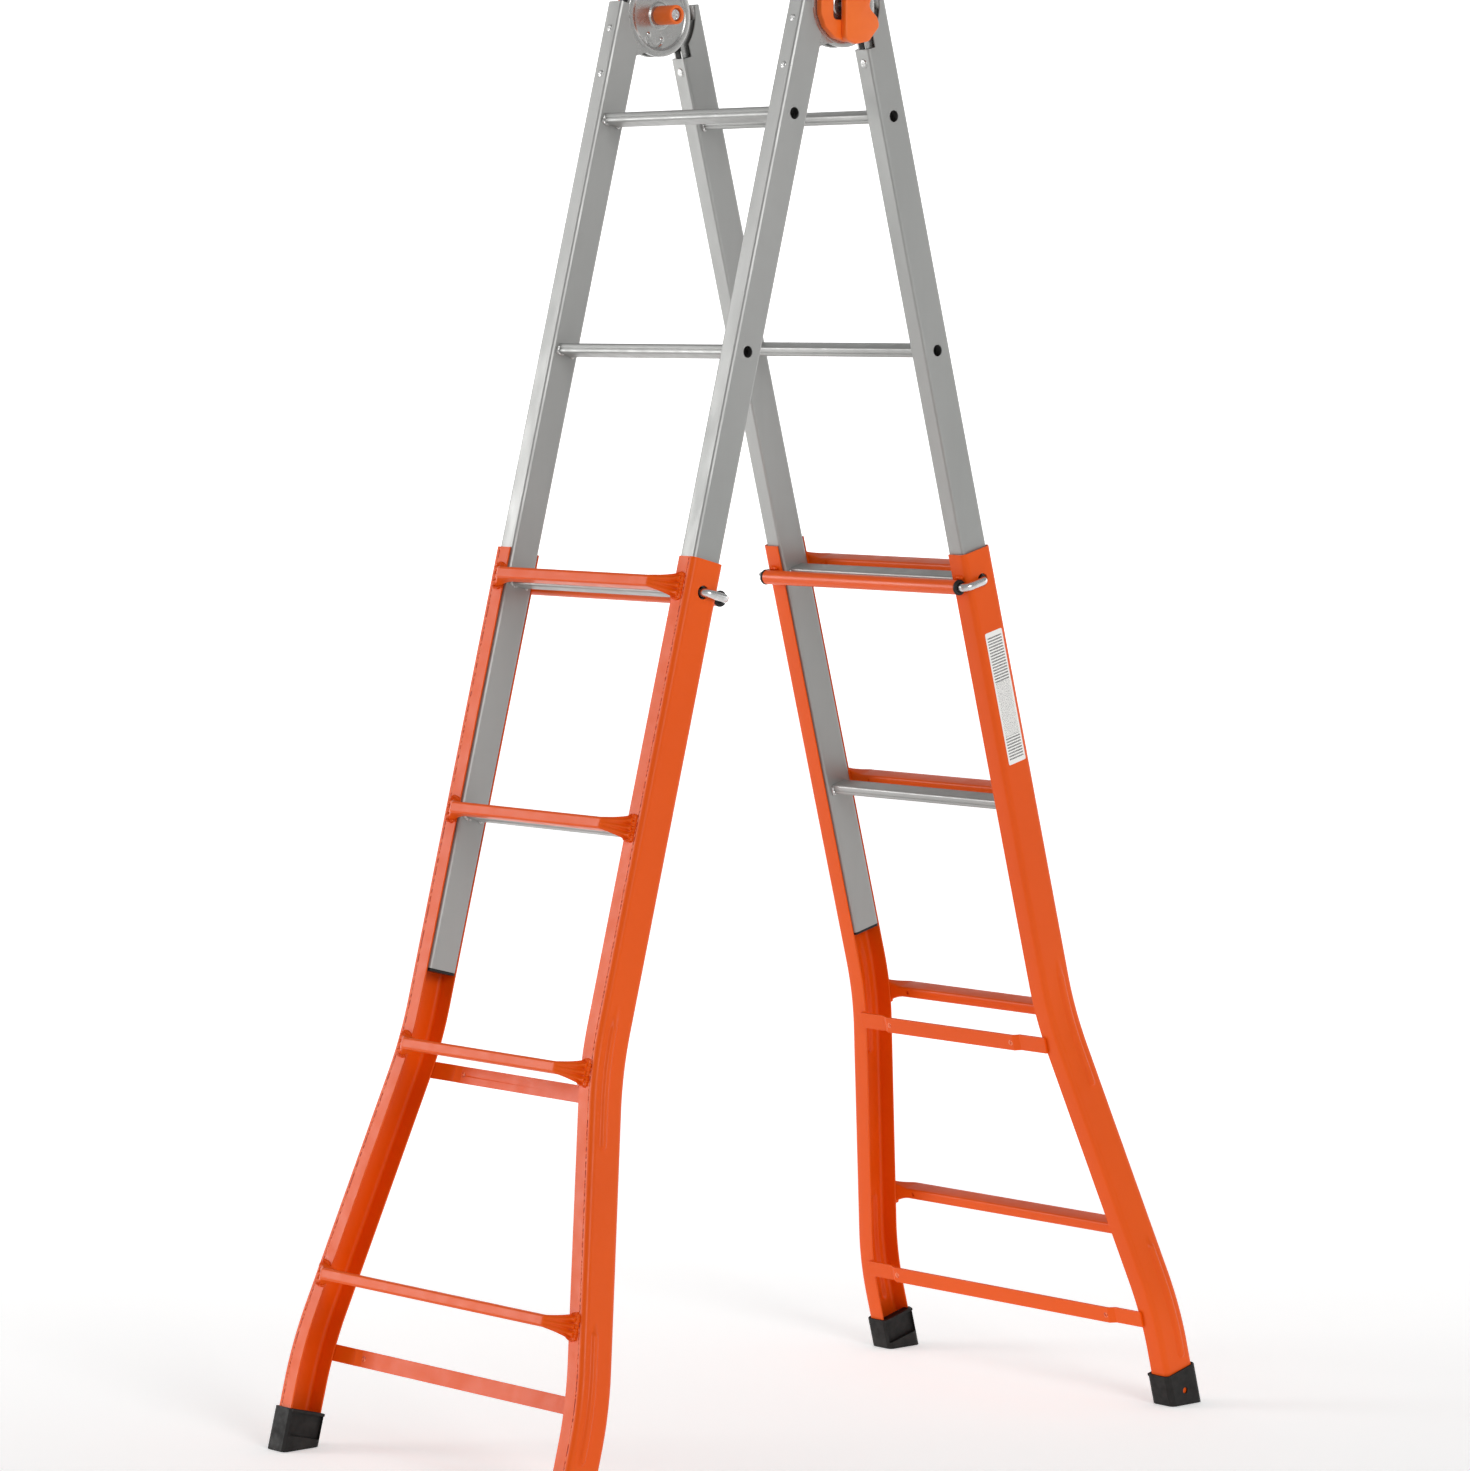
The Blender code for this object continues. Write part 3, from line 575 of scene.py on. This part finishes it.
zinc = new_coat("bright_zinc", 1.0, 0.2)
tones(zinc, grain(zinc, 90), (0.3, (0.62, 0.62, 0.61)), (0.7, (0.80, 0.80, 0.81)))
gloss(zinc, grain(zinc, 250, (1, 0.2, 1)), 0.14, 0.3)
relief(zinc, grain(zinc, 700, (1, 0.2, 1)), 0.12, 0.00015)

hinge_place = Matrix.Translation((0, 0, hinge_z))


def turned(profile, steps=40):
    """A profile of (radius, distance along Y) points turned round the hinge axis."""
    rings = []
    for k in range(steps):
        a = 2 * math.pi * k / steps
        rings.append([(r * math.cos(a), y, r * math.sin(a)) for r, y in profile])
    shape = bmesh.new()
    rows = [[shape.verts.new(point) for point in ring] for ring in rings]
    count = len(profile)
    closed = profile[0][0] > 1e-6
    for low, high in zip(rows, rows[1:] + rows[:1]):
        for i in range(count if closed else count - 1):
            j = (i + 1) % count
            shape.faces.new((low[i], low[j], high[j], high[i]))
    bmesh.ops.remove_doubles(shape, verts=shape.verts, dist=1e-6)
    return mesh_from(shape)


def joined(*meshes):
    shape = bmesh.new()
    for mesh in meshes:
        shape.from_mesh(mesh)
        bpy.data.meshes.remove(mesh)
    mesh = bpy.data.meshes.new("joined")
    shape.to_mesh(mesh)
    shape.free()
    return mesh


def both_ways(half):
    return half + [(x, -z) for x, z in reversed(half)]


face = hinge_y + cheek_out + 0.0003
sleeve_end = hinge_y - cheek_out - 0.0003
sleeve_start = sleeve_end - 0.031
lever_body = rounded(both_ways([(-0.043, 0.012), (-0.036, 0.027), (-0.021, 0.039),
                                (-0.003, 0.043), (0.014, 0.042), (0.024, 0.034)]), 0.012, 8)
lever_slot = rounded([(-0.024, -0.018), (0.009, -0.018), (0.009, 0.018), (-0.024, 0.018)],
                     0.005, 5)
lever_wing = rounded(both_ways([(-0.013, 0.041), (0.005, 0.0455), (0.024, 0.042),
                                (0.041, 0.024), (0.037, 0.0135), (0.0255, 0.004)]), 0.0078, 8)
sleeve_r, bore = 0.0115, 0.0078
head_r, head_thick, shank_r = 0.0072, 0.0032, 0.004


def screw_face(x, z):
    """A bolt's flat end with a cross slot."""
    cross = max(step_up(0.0014 - abs(x), 0, 0.0006), step_up(0.0014 - abs(z), 0, 0.0006))
    return 0.0005 - 0.0016 * cross * (1 - step_up(math.hypot(x, z), 0.0042, 0.0052))


for side, sign in both_sides:
    knob = joined(
        moulded([lever_body, lever_slot], 0.009, 0.0012, sign * (face + 0.0045)),
        moulded([lever_wing], 0.0095, 0.0022, sign * (face + 0.0132)),
    )
    fit(f"lever_knob_{side}", knob, hinge_place, f"lever_{side}", orange_plastic,
        [f"hinge_lever_{side}"], 50)

    profile = [(bore, sleeve_start + 0.0006), (bore + 0.0008, sleeve_start),
               (sleeve_r - 0.0012, sleeve_start), (sleeve_r - 0.0003, sleeve_start + 0.0004),
               (sleeve_r, sleeve_start + 0.0014), (sleeve_r, sleeve_end - 0.0016),
               (sleeve_r - 0.0003, sleeve_end - 0.0001), (axle_r, sleeve_end),
               (axle_r, sleeve_end - 0.013), (bore, sleeve_end - 0.013)]
    profile = [(radius, sign * y) for radius, y in profile]
    fit(f"bolt_sleeve_{side}", turned(profile), hinge_place, "inner_a", orange_plastic,
        [f"hinge_sleeve_{side}"], 50)

    start, top = sleeve_start + head_thick, face + 0.009 - head_thick
    profile = [(0, start), (head_r - 0.0015, start), (head_r - 0.0004, start + 0.0004),
               (head_r, start + 0.0012), (head_r, start + head_thick),
               (shank_r, start + head_thick), (shank_r, top - head_thick),
               (head_r, top - head_thick), (head_r, top - 0.001),
               (head_r - 0.0006, top - 0.0002), (head_r - 0.0016, top), (0, top)]
    profile = [(radius, sign * y) for radius, y in profile]
    shape = bmesh.new()
    pressed_disc(shape, [0.0003] + [0.0006 * k for k in range(1, 11)], screw_face,
                 sign * start, sign * (start + 0.001), 64)
    fit(f"lock_bolt_{side}", joined(turned(profile), mesh_from(shape)), hinge_place,
        f"lever_{side}", zinc, [f"hinge_bolt_{side}"], 40)

# ---- Rivets ------------------------------------------------------------------------------
# Domed rivets hold the disc arms in the stiles: two through the outward face, one through
# the inward face, with the coat worn bright on their heads.

rivet_shares = [0.1, 0.3, 0.48, 0.64, 0.79, 0.9, 1.0]
rivet_spots = ((1, 0.034), (1, 0.090), (-1, 0.075))
for tag in "ab":
    for side, sign in near_far[tag].items():
        for number, (way, down) in enumerate(rivet_spots, 1):
            shape = bmesh.new()
            head = 0.0043 if way > 0 else 0.0054

            def dome(x, z):
                r = math.hypot(x, z) / head
                rim = 0.0004 * math.exp(-((r - 0.72) / 0.1) ** 2)
                dents = 0.0003 * noise.noise(Vector((x * 900, z * 900, number)))
                return 0.0012 * math.sqrt(max(0, 1 - r * r)) + rim + dents

            pressed_disc(shape, [head * share for share in rivet_shares], dome, 0.0, -0.0006,
                         24)
            mesh = mesh_from(shape)
            out = 0.0635 if way > 0 else stile_in
            mesh.transform(Matrix.Translation((out, sign * hinge_y, -down))
                           @ Matrix.Rotation(-way * math.pi / 2, 4, "Z"))
            fit(f"rivet_{tag}_{side}_{number}", mesh, legs[tag], f"inner_{tag}", weld_metal,
                sharp=60)

# ---- Outer stiles ------------------------------------------------------------------------
# Folded steel channels, open towards the ladder's middle, powder coated orange. They flare
# out through two bends, each stiffened by an oblong bead pressed into the web.

orange_coat = new_coat("orange_powder_coat", 0.0, 0.36)
tones(orange_coat, grain(orange_coat, 3.5), (0.3, (0.78, 0.088, 0.0012)),
      (0.7, (0.84, 0.102, 0.0018)))
gloss(orange_coat, grain(orange_coat, 45), 0.3, 0.42)
relief(orange_coat, grain(orange_coat, 520, detail=1), 0.16, 0.0003)
relief(orange_coat, grain(orange_coat, 35), 0.08, 0.0006)
orange_shader = orange_coat.node_tree.nodes["Principled BSDF"]
orange_shader.inputs["Specular IOR Level"].default_value = 0.24

channel_in, channel_out = 0.0203, 0.0667
web_y, wall_thick, channel_r, flange = 0.179, 0.002, 0.0065, 0.027
outer_first = down_leg("inner_b_rung_3") - 0.004
outer_top, outer_end = outer_first - 0.033, outer_first + 1.042
pin_hole_r = 0.008
bends, bend_half, flare_out = (0.557, 0.934), 0.045, 0.089
pin_down = down_leg("inner_b_rung_3")
# Each bead's start and end down the leg, and its X at each.
beads = ((1.212, 1.345, 0.0500, 0.0495), (1.556, 1.694, 0.0505, 0.0505))
bead_tall, bead_flat, bead_foot = 0.0032, 0.0018, 0.0058
lip, web_steps, bend_steps, inner_steps = 0.0006, 30, 6, 4


def ramp(distance):
    """Nothing before a bend and its distance after it, with an arc between."""
    if distance <= -bend_half:
        return 0.0
    if distance >= bend_half:
        return distance
    return (distance + bend_half) ** 2 / (4 * bend_half)


def flare(down):
    """How far the frame stands out at a distance down the leg."""
    below = down - outer_first
    slope = flare_out / (bends[1] - bends[0])
    return slope * (ramp(below - bends[0]) - ramp(below - bends[1]))


def bead_height(down, x):
    """How far the web stands out at a point, from the two pressed beads."""
    height = 0.0
    for start, end, x_start, x_end in beads:
        along = min(end, max(start, down))
        middle = x_start + (x_end - x_start) * (along - start) / (end - start)
        away = math.hypot(down - along, (x - middle))
        height = max(height, bead_tall * (1 - step_up(away, bead_flat, bead_foot)))
    return height


def channel_ring(sign, down):
    """The channel's section: inward flange, web, seam, outward flange, then back inside."""
    inner_r = channel_r - wall_thick
    shift = flare(down)
    edge = web_y - flange
    points = [(channel_in, edge + lip), (channel_in, edge + 0.010)]
    for k in range(bend_steps + 1):
        a = math.pi / 2 * k / bend_steps
        points.append((channel_in + channel_r * (1 - math.cos(a)),
                       web_y - channel_r * (1 - math.sin(a))))
    across = channel_out - channel_in - 2 * channel_r
    for k in range(1, web_steps):
        x = channel_in + channel_r + across * k / web_steps
        points.append((x, web_y + bead_height(down, x)))
    for k in range(bend_steps + 1):
        a = math.pi / 2 * k / bend_steps
        points.append((channel_out - channel_r * (1 - math.sin(a)),
                       web_y - channel_r * (1 - math.cos(a))))
    seam = web_y - channel_r - 0.0022
    points += [(channel_out, seam + 0.0010), (channel_out - 0.0007, seam + 0.0004),
               (channel_out - 0.0007, seam - 0.0004), (channel_out, seam - 0.0010)]
    points += [(channel_out, edge + 0.010), (channel_out, edge + lip),
               (channel_out - lip, edge), (channel_out - wall_thick + lip, edge),
               (channel_out - wall_thick, edge + lip)]
    for k in range(inner_steps + 1):
        a = math.pi / 2 * k / inner_steps
        points.append((channel_out - wall_thick - inner_r * (1 - math.cos(a)),
                       web_y - wall_thick - inner_r * (1 - math.sin(a))))
    for k in range(web_steps - 1, 0, -1):
        x = channel_in + channel_r + across * k / web_steps
        points.append((x, web_y - wall_thick + bead_height(down, x)))
    for k in range(inner_steps + 1):
        a = math.pi / 2 * k / inner_steps
        points.append((channel_in + wall_thick + inner_r * (1 - math.sin(a)),
                       web_y - wall_thick - inner_r * (1 - math.cos(a))))
    points += [(channel_in + wall_thick, edge + lip), (channel_in + wall_thick - lip, edge),
               (channel_in + lip, edge)]
    return [(x, sign * (y + shift), -down) for x, y in points]


def drilled(mesh, place, turn, radius, length):
    """The mesh with a round hole through it."""
    body = bpy.data.objects.new("blank", mesh)
    shape = bmesh.new()
    bmesh.ops.create_cone(shape, cap_ends=True, segments=40, radius1=radius, radius2=radius,
                          depth=length)
    drill = bpy.data.meshes.new("drill")
    shape.to_mesh(drill)
    shape.free()
    bit = bpy.data.objects.new("drill", drill)
    bit.matrix_world = Matrix.Translation(place) @ turn
    for part in (body, bit):
        scene.collection.objects.link(part)
    cut = body.modifiers.new("hole", "BOOLEAN")
    cut.object = bit
    cut.solver = "EXACT"
    made = bpy.data.meshes.new_from_object(
        body.evaluated_get(bpy.context.evaluated_depsgraph_get()))
    for part in (body, bit):
        bpy.data.objects.remove(part)
    return made


# The seam's coat paints shade and highlight. Its colour follows the same noise as its bumps:
# darker orange in the dips and a pale pinkish orange on the crests, in dashes along the seam.
seam_shade_and_highlight_coat = new_coat("orange_seam_painted_shade_and_highlight", 0.0, 0.45)
tones(seam_shade_and_highlight_coat, grain(seam_shade_and_highlight_coat, 330, (1, 1, 0.7), 1), (0.40, (0.55, 0.050, 0.0010)),
      (0.50, (0.83, 0.092, 0.0020)), (0.58, (0.92, 0.24, 0.10)))
gloss(seam_shade_and_highlight_coat, grain(seam_shade_and_highlight_coat, 300), 0.3, 0.5)
relief(seam_shade_and_highlight_coat, grain(seam_shade_and_highlight_coat, 330, (1, 1, 0.7), 1), 0.6, 0.0006)
# The seam's three faces come after the flange's two points, both bends and the web.
seam_first = 2 + (bend_steps + 1) + (web_steps - 1) + (bend_steps + 1)
coarse, fine = 0.012, 0.0022
stations = [outer_top, outer_top + 0.0004]
down = outer_top + coarse
while down < outer_end - 0.001:
    stations.append(down)
    near_bead = any(start - coarse < down < end + coarse for start, end, *_ in beads)
    down += fine if near_bead else coarse
stations.append(outer_end)
for tag in "ab":
    for side, sign in near_far[tag].items():
        rings = [channel_ring(sign, s) for s in stations]
        mesh = skin(rings)
        mesh.materials.append(orange_coat)
        mesh.materials.append(seam_shade_and_highlight_coat)
        for number, strip in enumerate(mesh.polygons):
            along_ring = number % len(rings[0])
            if len(strip.vertices) == 4 and seam_first <= along_ring < seam_first + 3:
                strip.material_index = 1
        mesh = drilled(mesh, (stile_middle, sign * web_y, -pin_down),
                       Matrix.Rotation(math.pi / 2, 4, "X"), pin_hole_r, 0.012)
        fit(f"channel_{tag}_{side}", mesh, legs[tag], f"outer_{tag}", orange_coat,
            [f"outer_{tag}_stile_{side}"], 40)

# ---- Outer rungs -------------------------------------------------------------------------
# Oblong tube whose ends are crushed flat into a fan of flutes and welded on the outward
# flanges. The weld is a rough bead round the flat end, under the same powder coat.

rung_deep, rung_tall = 0.025, 0.014
flat_deep, flat_tall, flat_long, taper_long, setback = 0.005, 0.029, 0.005, 0.028, 0.013
pitch, flutes, flute_deep = 0.282, 3.5, 0.0022
seat = channel_out + 0.0003


def rung_ring(y, end, z0):
    """The rung's section at y: a box that flattens and spreads towards its end."""
    flat = end - flat_long
    share = step_up(abs(y), flat - taper_long, flat + 0.001)
    flat_share = min(1, max(0, (abs(y) - flat + taper_long) / taper_long))
    deep = rung_deep + (flat_deep - rung_deep) * share
    tall = rung_tall + (flat_tall - rung_tall) * flat_share ** 1.4
    corner = min(deep, tall) * (0.22 - 0.06 * share)
    outline = []
    for x0, z1, start in ((1, 1, 0), (-1, 1, 90), (-1, -1, 180), (1, -1, 270)):
        cx, cz = x0 * (deep / 2 - corner), z1 * (tall / 2 - corner)
        for k in range(6):
            a = math.radians(start + 18 * k)
            outline.append((cx + corner * math.cos(a), cz + corner * math.sin(a)))
        if (x0, z1) == (1, -1):
            room = tall / 2 - corner
            outline += [(deep / 2, -room + 2 * room * k / 24) for k in range(1, 24)]
    made = []
    for x, z in outline:
        if x > deep / 2 - corner * 0.5:
            fold = math.cos(2 * math.pi * flutes * z / tall)
            shallower = 1 - 0.35 * step_up(abs(y), flat, end)
            x += (flute_deep * fold - 0.0010) * share * shallower
        made.append((seat + deep / 2 + x, y, z0 + z))
    return made


for tag in "ab":
    for number in range(1, 5):
        node = f"outer_{tag}_rung_{number}"
        below = down_leg("outer_b_rung_1") + pitch * (number - 1)
        z0 = -below
        end = web_y + flare(below) - setback
        full = end - flat_long - taper_long
        ys = [full - 0.002 + (end - full + 0.002) * k / 26 for k in range(27)]
        ys = [-y for y in reversed(ys)] + [0.0] + ys
        rings = [rung_ring(y, end, z0) for y in ys]
        mesh = skin(rings)
        for way in (1, -1):
            mesh = drilled(mesh, (seat, way * (full - 0.012), z0),
                           Matrix.Rotation(math.pi / 2, 4, "Y"), 0.0025, 0.004)
        fit(f"step_{tag}_{number}", mesh, legs[tag], f"outer_{tag}", orange_coat,
            [node], 32)
        for side, sign in near_far[tag].items():
            half, skim, clear = flat_tall / 2, seat + 0.0005, seat + 0.0008
            run = [(skim, sign * (end - 0.013), z0 + half - 0.003),
                   (skim, sign * (end - 0.004), z0 + half),
                   (clear, sign * (end + 0.0006), z0 + half - 0.002),
                   (clear, sign * (end + 0.0010), z0),
                   (clear, sign * (end + 0.0006), z0 - half + 0.002),
                   (skim, sign * (end - 0.004), z0 - half),
                   (skim, sign * (end - 0.013), z0 - half + 0.003)]
            fit(f"step_weld_{tag}_{number}_{side}", weld_run(run, 0.0025, number * sign),
                legs[tag], f"outer_{tag}", orange_coat)

# ---- Cross straps ------------------------------------------------------------------------
# Two flat steel bars tie each outer frame together behind the inward flanges. They are
# cranked near the ends, drilled once at each side, and coated with the frame.

strap_setback, strap_hole, strap_thick, strap_face = 0.022, 0.0565, 0.003, 0.0160
head_rings = [0.0003, 0.0012, 0.0020, 0.0027, 0.0032, 0.0035]


def flat_head(x, z):
    """A low rivet head with a dimple in its middle."""
    r = math.hypot(x, z)
    dimple = 0.0014 * (1 - step_up(r, 0.0010, 0.0021))
    return 0.0006 * math.sqrt(max(0, 1 - (r / 0.0036) ** 2)) - dimple


for tag in "ab":
    for place in ("upper", "lower"):
        node = f"outer_{tag}_strap_{place}"
        finish(node, orange_coat, 0.0005)
        below = down_leg(node)
        hole_y = web_y + flare(below) - strap_setback - strap_hole
        for side, sign in near_far[tag].items():
            shape = bmesh.new()
            pressed_disc(shape, head_rings, flat_head, 0.0, -0.0005, 24)
            pressed_disc(shape, head_rings, flat_head, -strap_thick, 0.0005 - strap_thick, 24)
            mesh = mesh_from(shape)
            mesh.transform(Matrix.Translation((strap_face, sign * hole_y, -below))
                           @ Matrix.Rotation(-math.pi / 2, 4, "Z"))
            # The rivet heads take the seam's coat, so its dark and pale dashes paint shade and
            # highlight on them too.
            fit(f"strap_rivet_{tag}_{place}_{side}", mesh, legs[tag], f"outer_{tag}",
                seam_shade_and_highlight_coat, sharp=60)

# ---- Lock tube, bushings, hooks and springs ----------------------------------------------
# A round tube across the inward flanges holds two sprung U-shaped hooks, bent from 10 mm bar
# and zinc plated. They run in black bushings and drop their tips through the webs.

tube_low, tube_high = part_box("outer_b_lock_tube")
tube_x = (legs["b"].inverted() @ ((tube_low + tube_high) / 2)).x
tube_r, tube_end, bush_r, bar_r = 0.0088, web_y - 0.009, 0.0094, 0.005
bush_plug_r, hook_tip = 0.0070, 0.1766

orange_tube = new_coat("orange_coat_tube", 0.0, 0.34)
tones(orange_tube, grain(orange_tube, 6, (1, 0.3, 1)), (0.3, (0.77, 0.088, 0.0012)),
      (0.7, (0.84, 0.102, 0.0018)))
gloss(orange_tube, grain(orange_tube, 40, (1, 0.1, 1)), 0.26, 0.4)
relief(orange_tube, grain(orange_tube, 520, detail=1), 0.14, 0.0003)
relief(orange_tube, grain(orange_tube, 30, (1, 0.1, 1)), 0.1, 0.0005)
tube_shader = orange_tube.node_tree.nodes["Principled BSDF"]
tube_shader.inputs["Specular IOR Level"].default_value = 0.35

for tag in "ab":
    lift = Matrix.Translation((tube_x, 0, -pin_down))
    profile = [(tube_r - 0.0015, -tube_end), (tube_r - 0.0004, -tube_end),
               (tube_r, 0.0004 - tube_end), (tube_r, tube_end - 0.0004),
               (tube_r - 0.0004, tube_end), (tube_r - 0.0015, tube_end)]
    mesh = turned(profile, 48)
    mesh.transform(lift)
    fit(f"cross_tube_{tag}", mesh, legs[tag], f"outer_{tag}", orange_tube,
        [f"outer_{tag}_lock_tube"], 40)
    finish(f"lock_spring_{tag}", zinc)
    for side, sign in near_far[tag].items():
        start = tube_end + 0.0003
        profile = [(0.0053, start - 0.012), (bush_plug_r, start - 0.012), (bush_plug_r, start),
                   (bush_r - 0.0007, start), (bush_r, start + 0.0007),
                   (bush_r, start + 0.0024), (bush_r - 0.0012, start + 0.0036),
                   (0.0060, start + 0.0036), (0.0053, start + 0.0030)]
        mesh = turned([(radius, sign * y) for radius, y in profile], 36)
        mesh.transform(lift)
        fit(f"bushing_{tag}_{side}", mesh, legs[tag], f"outer_{tag}", black_plastic,
            [f"outer_{tag}_bushing_{side}"], 40)

        bar, bend, span = web_y + 0.0058, 0.008, stile_middle - tube_x
        turns = [math.pi / 2 * k / 10 for k in range(11)]
        line = [(0, web_y - 0.045), (0, bar - bend - 0.004)]
        line += [(bend - bend * math.cos(a), bar - bend + bend * math.sin(a)) for a in turns]
        line += [(span - bend + bend * math.sin(a), bar - bend + bend * math.cos(a))
                 for a in turns]
        line += [(span, hook_tip)]
        mesh = tube([(tube_x + x, sign * y, -pin_down) for x, y in line],
                    lambda i, last=len(line) - 1: bar_r * (0.8 if i in (0, last) else 1), 24)
        fit(f"hook_bar_{tag}_{side}", mesh, legs[tag], f"hook_{tag}_{side}", zinc,
            [f"lock_hook_{tag}_{side}"], 40)

        y = sign * (web_y - 0.014)
        run = [(channel_in - 0.0012, y - 0.006, -pin_down + 0.0085),
               (channel_in - 0.0010, y, -pin_down + 0.0098),
               (channel_in - 0.0012, y + 0.007, -pin_down + 0.0085)]
        low = [(x, along, -2 * pin_down - z) for x, along, z in run]
        mesh = joined(weld_run(run, 0.0024, sign), weld_run(low, 0.0022, 3 * sign))
        fit(f"tube_weld_{tag}_{side}", mesh, legs[tag], f"outer_{tag}", orange_coat)

# ---- Feet --------------------------------------------------------------------------------
# Moulded rubber boots pushed over the channel ends, cut level with the floor. A peg hole in
# the outer face shows the orange web behind it, and a lining closes the channel's open side.

rubber = new_coat("boot_rubber", 0.0, 0.6)
rubber_shader = rubber.node_tree.nodes["Principled BSDF"]
rubber_shader.inputs["Specular IOR Level"].default_value = 0.3
tones(rubber, grain(rubber, 25), (0.3, (0.006, 0.0055, 0.005)), (0.55, (0.011, 0.010, 0.009)),
      (0.8, (0.026, 0.023, 0.021)))
gloss(rubber, grain(rubber, 120), 0.5, 0.72)
relief(rubber, grain(rubber, 1100), 0.3, 0.0003)
relief(rubber, grain(rubber, 60), 0.12, 0.0006)
foot_wall, foot_reach, foot_top = 0.0025, 0.036, 0.031 - outer_end
for tag in "ab":
    for side in ("near", "far"):
        finish(f"outer_{tag}_foot_{side}", rubber, 0.0011)
        sign = near_far[tag][side]
        wall = web_y + flare_out + foot_wall
        back = wall - foot_reach
        shape = bmesh.new()
        x0, x1 = channel_in - 0.001, channel_out + 0.001
        inside = [(x0, -outer_end - 0.005), (x1, -outer_end - 0.013),
                  (x1, foot_top), (x0, foot_top)]
        slab_into(shape, inside, sign * (back + 0.0058), sign * (back + 0.0100))
        bar = [(x0, foot_top), (x1, foot_top), (x1, foot_top - 0.0036),
               (x0, foot_top - 0.0036)]
        slab_into(shape, rounded(bar, 0.0008, 2), sign * (back + 0.0004),
                  sign * (back + 0.0044))
        shelf = [(x0, foot_top), (x1, foot_top), (x1, foot_top - 0.0016),
                 (x0, foot_top - 0.0016)]
        slab_into(shape, shelf, sign * (back + 0.0040), sign * (back + 0.0130))
        fit(f"boot_lining_{tag}_{side}", mesh_from(shape), legs[tag], f"outer_{tag}", rubber,
            sharp=35)

# ---- Label -------------------------------------------------------------------------------
# A white printed sticker on leg B's near web: rules, boxes and rows of grey dashes.

label_top, label_end = outer_first + 0.068, outer_first + 0.233
label_x = (0.0305, 0.0590)
sticker = new_coat("label_film", 0.0, 0.35)
tree = sticker.node_tree
place = tree.nodes.new("ShaderNodeTexCoord")
split = tree.nodes.new("ShaderNodeSeparateXYZ")
tree.links.new(place.outputs["Object"], split.inputs["Vector"])


def sum_of(kind, a, b, c=None):
    """A node that works out one step of arithmetic, from numbers or from other nodes."""
    made = tree.nodes.new("ShaderNodeMath")
    made.operation = kind
    for number, value in enumerate((a, b, c)):
        if value is None:
            continue
        if isinstance(value, (int, float)):
            made.inputs[number].default_value = value
        else:
            tree.links.new(value, made.inputs[number])
    return made.outputs["Value"]


down_label = sum_of("MULTIPLY", sum_of("ADD", split.outputs["Z"], label_top), -1.0)
across_label = sum_of("SUBTRACT", split.outputs["X"], label_x[0])
row_gap = 0.0018
rows = sum_of("PINGPONG", down_label, row_gap)
ink_row = sum_of("LESS_THAN", rows, row_gap / 2)
dashes = tree.nodes.new("ShaderNodeTexNoise")
dashes.inputs["Scale"].default_value = 500
dashes.inputs["Detail"].default_value = 0
ink_gap = sum_of("GREATER_THAN", dashes.outputs["Fac"], 0.42)
blotch = tree.nodes.new("ShaderNodeTexNoise")
blotch.inputs["Scale"].default_value = 170
blotch.inputs["Detail"].default_value = 2
drawing = sum_of("GREATER_THAN", blotch.outputs["Fac"], 0.57)
in_middle = sum_of("COMPARE", down_label, 0.096, 0.034)
text_zone = sum_of("SUBTRACT", 1.0, in_middle)
margin = sum_of("COMPARE", across_label, (label_x[1] - label_x[0]) / 2, 0.0118)
inside = sum_of("COMPARE", down_label, (label_end - label_top) / 2, 0.078)
words = sum_of("MULTIPLY", sum_of("MULTIPLY", ink_row, ink_gap), text_zone)
ink = sum_of("MAXIMUM", words, sum_of("MULTIPLY", drawing, in_middle))
ink = sum_of("MULTIPLY", sum_of("MULTIPLY", ink, margin), inside)
tones(sticker, ink, (0.0, (0.90, 0.89, 0.86)), (1.0, (0.03, 0.03, 0.035)))
gloss(sticker, grain(sticker, 80), 0.3, 0.42)
corners = [(label_x[0], -label_top), (label_x[1], -label_top), (label_x[1], -label_end),
           (label_x[0], -label_end)]
shape = bmesh.new()
outside = -web_y - 0.00025
slab_into(shape, rounded(corners, 0.002, 4), outside, outside + 0.0002)
fit("label", mesh_from(shape), legs["b"], "outer_b", sticker, sharp=30)
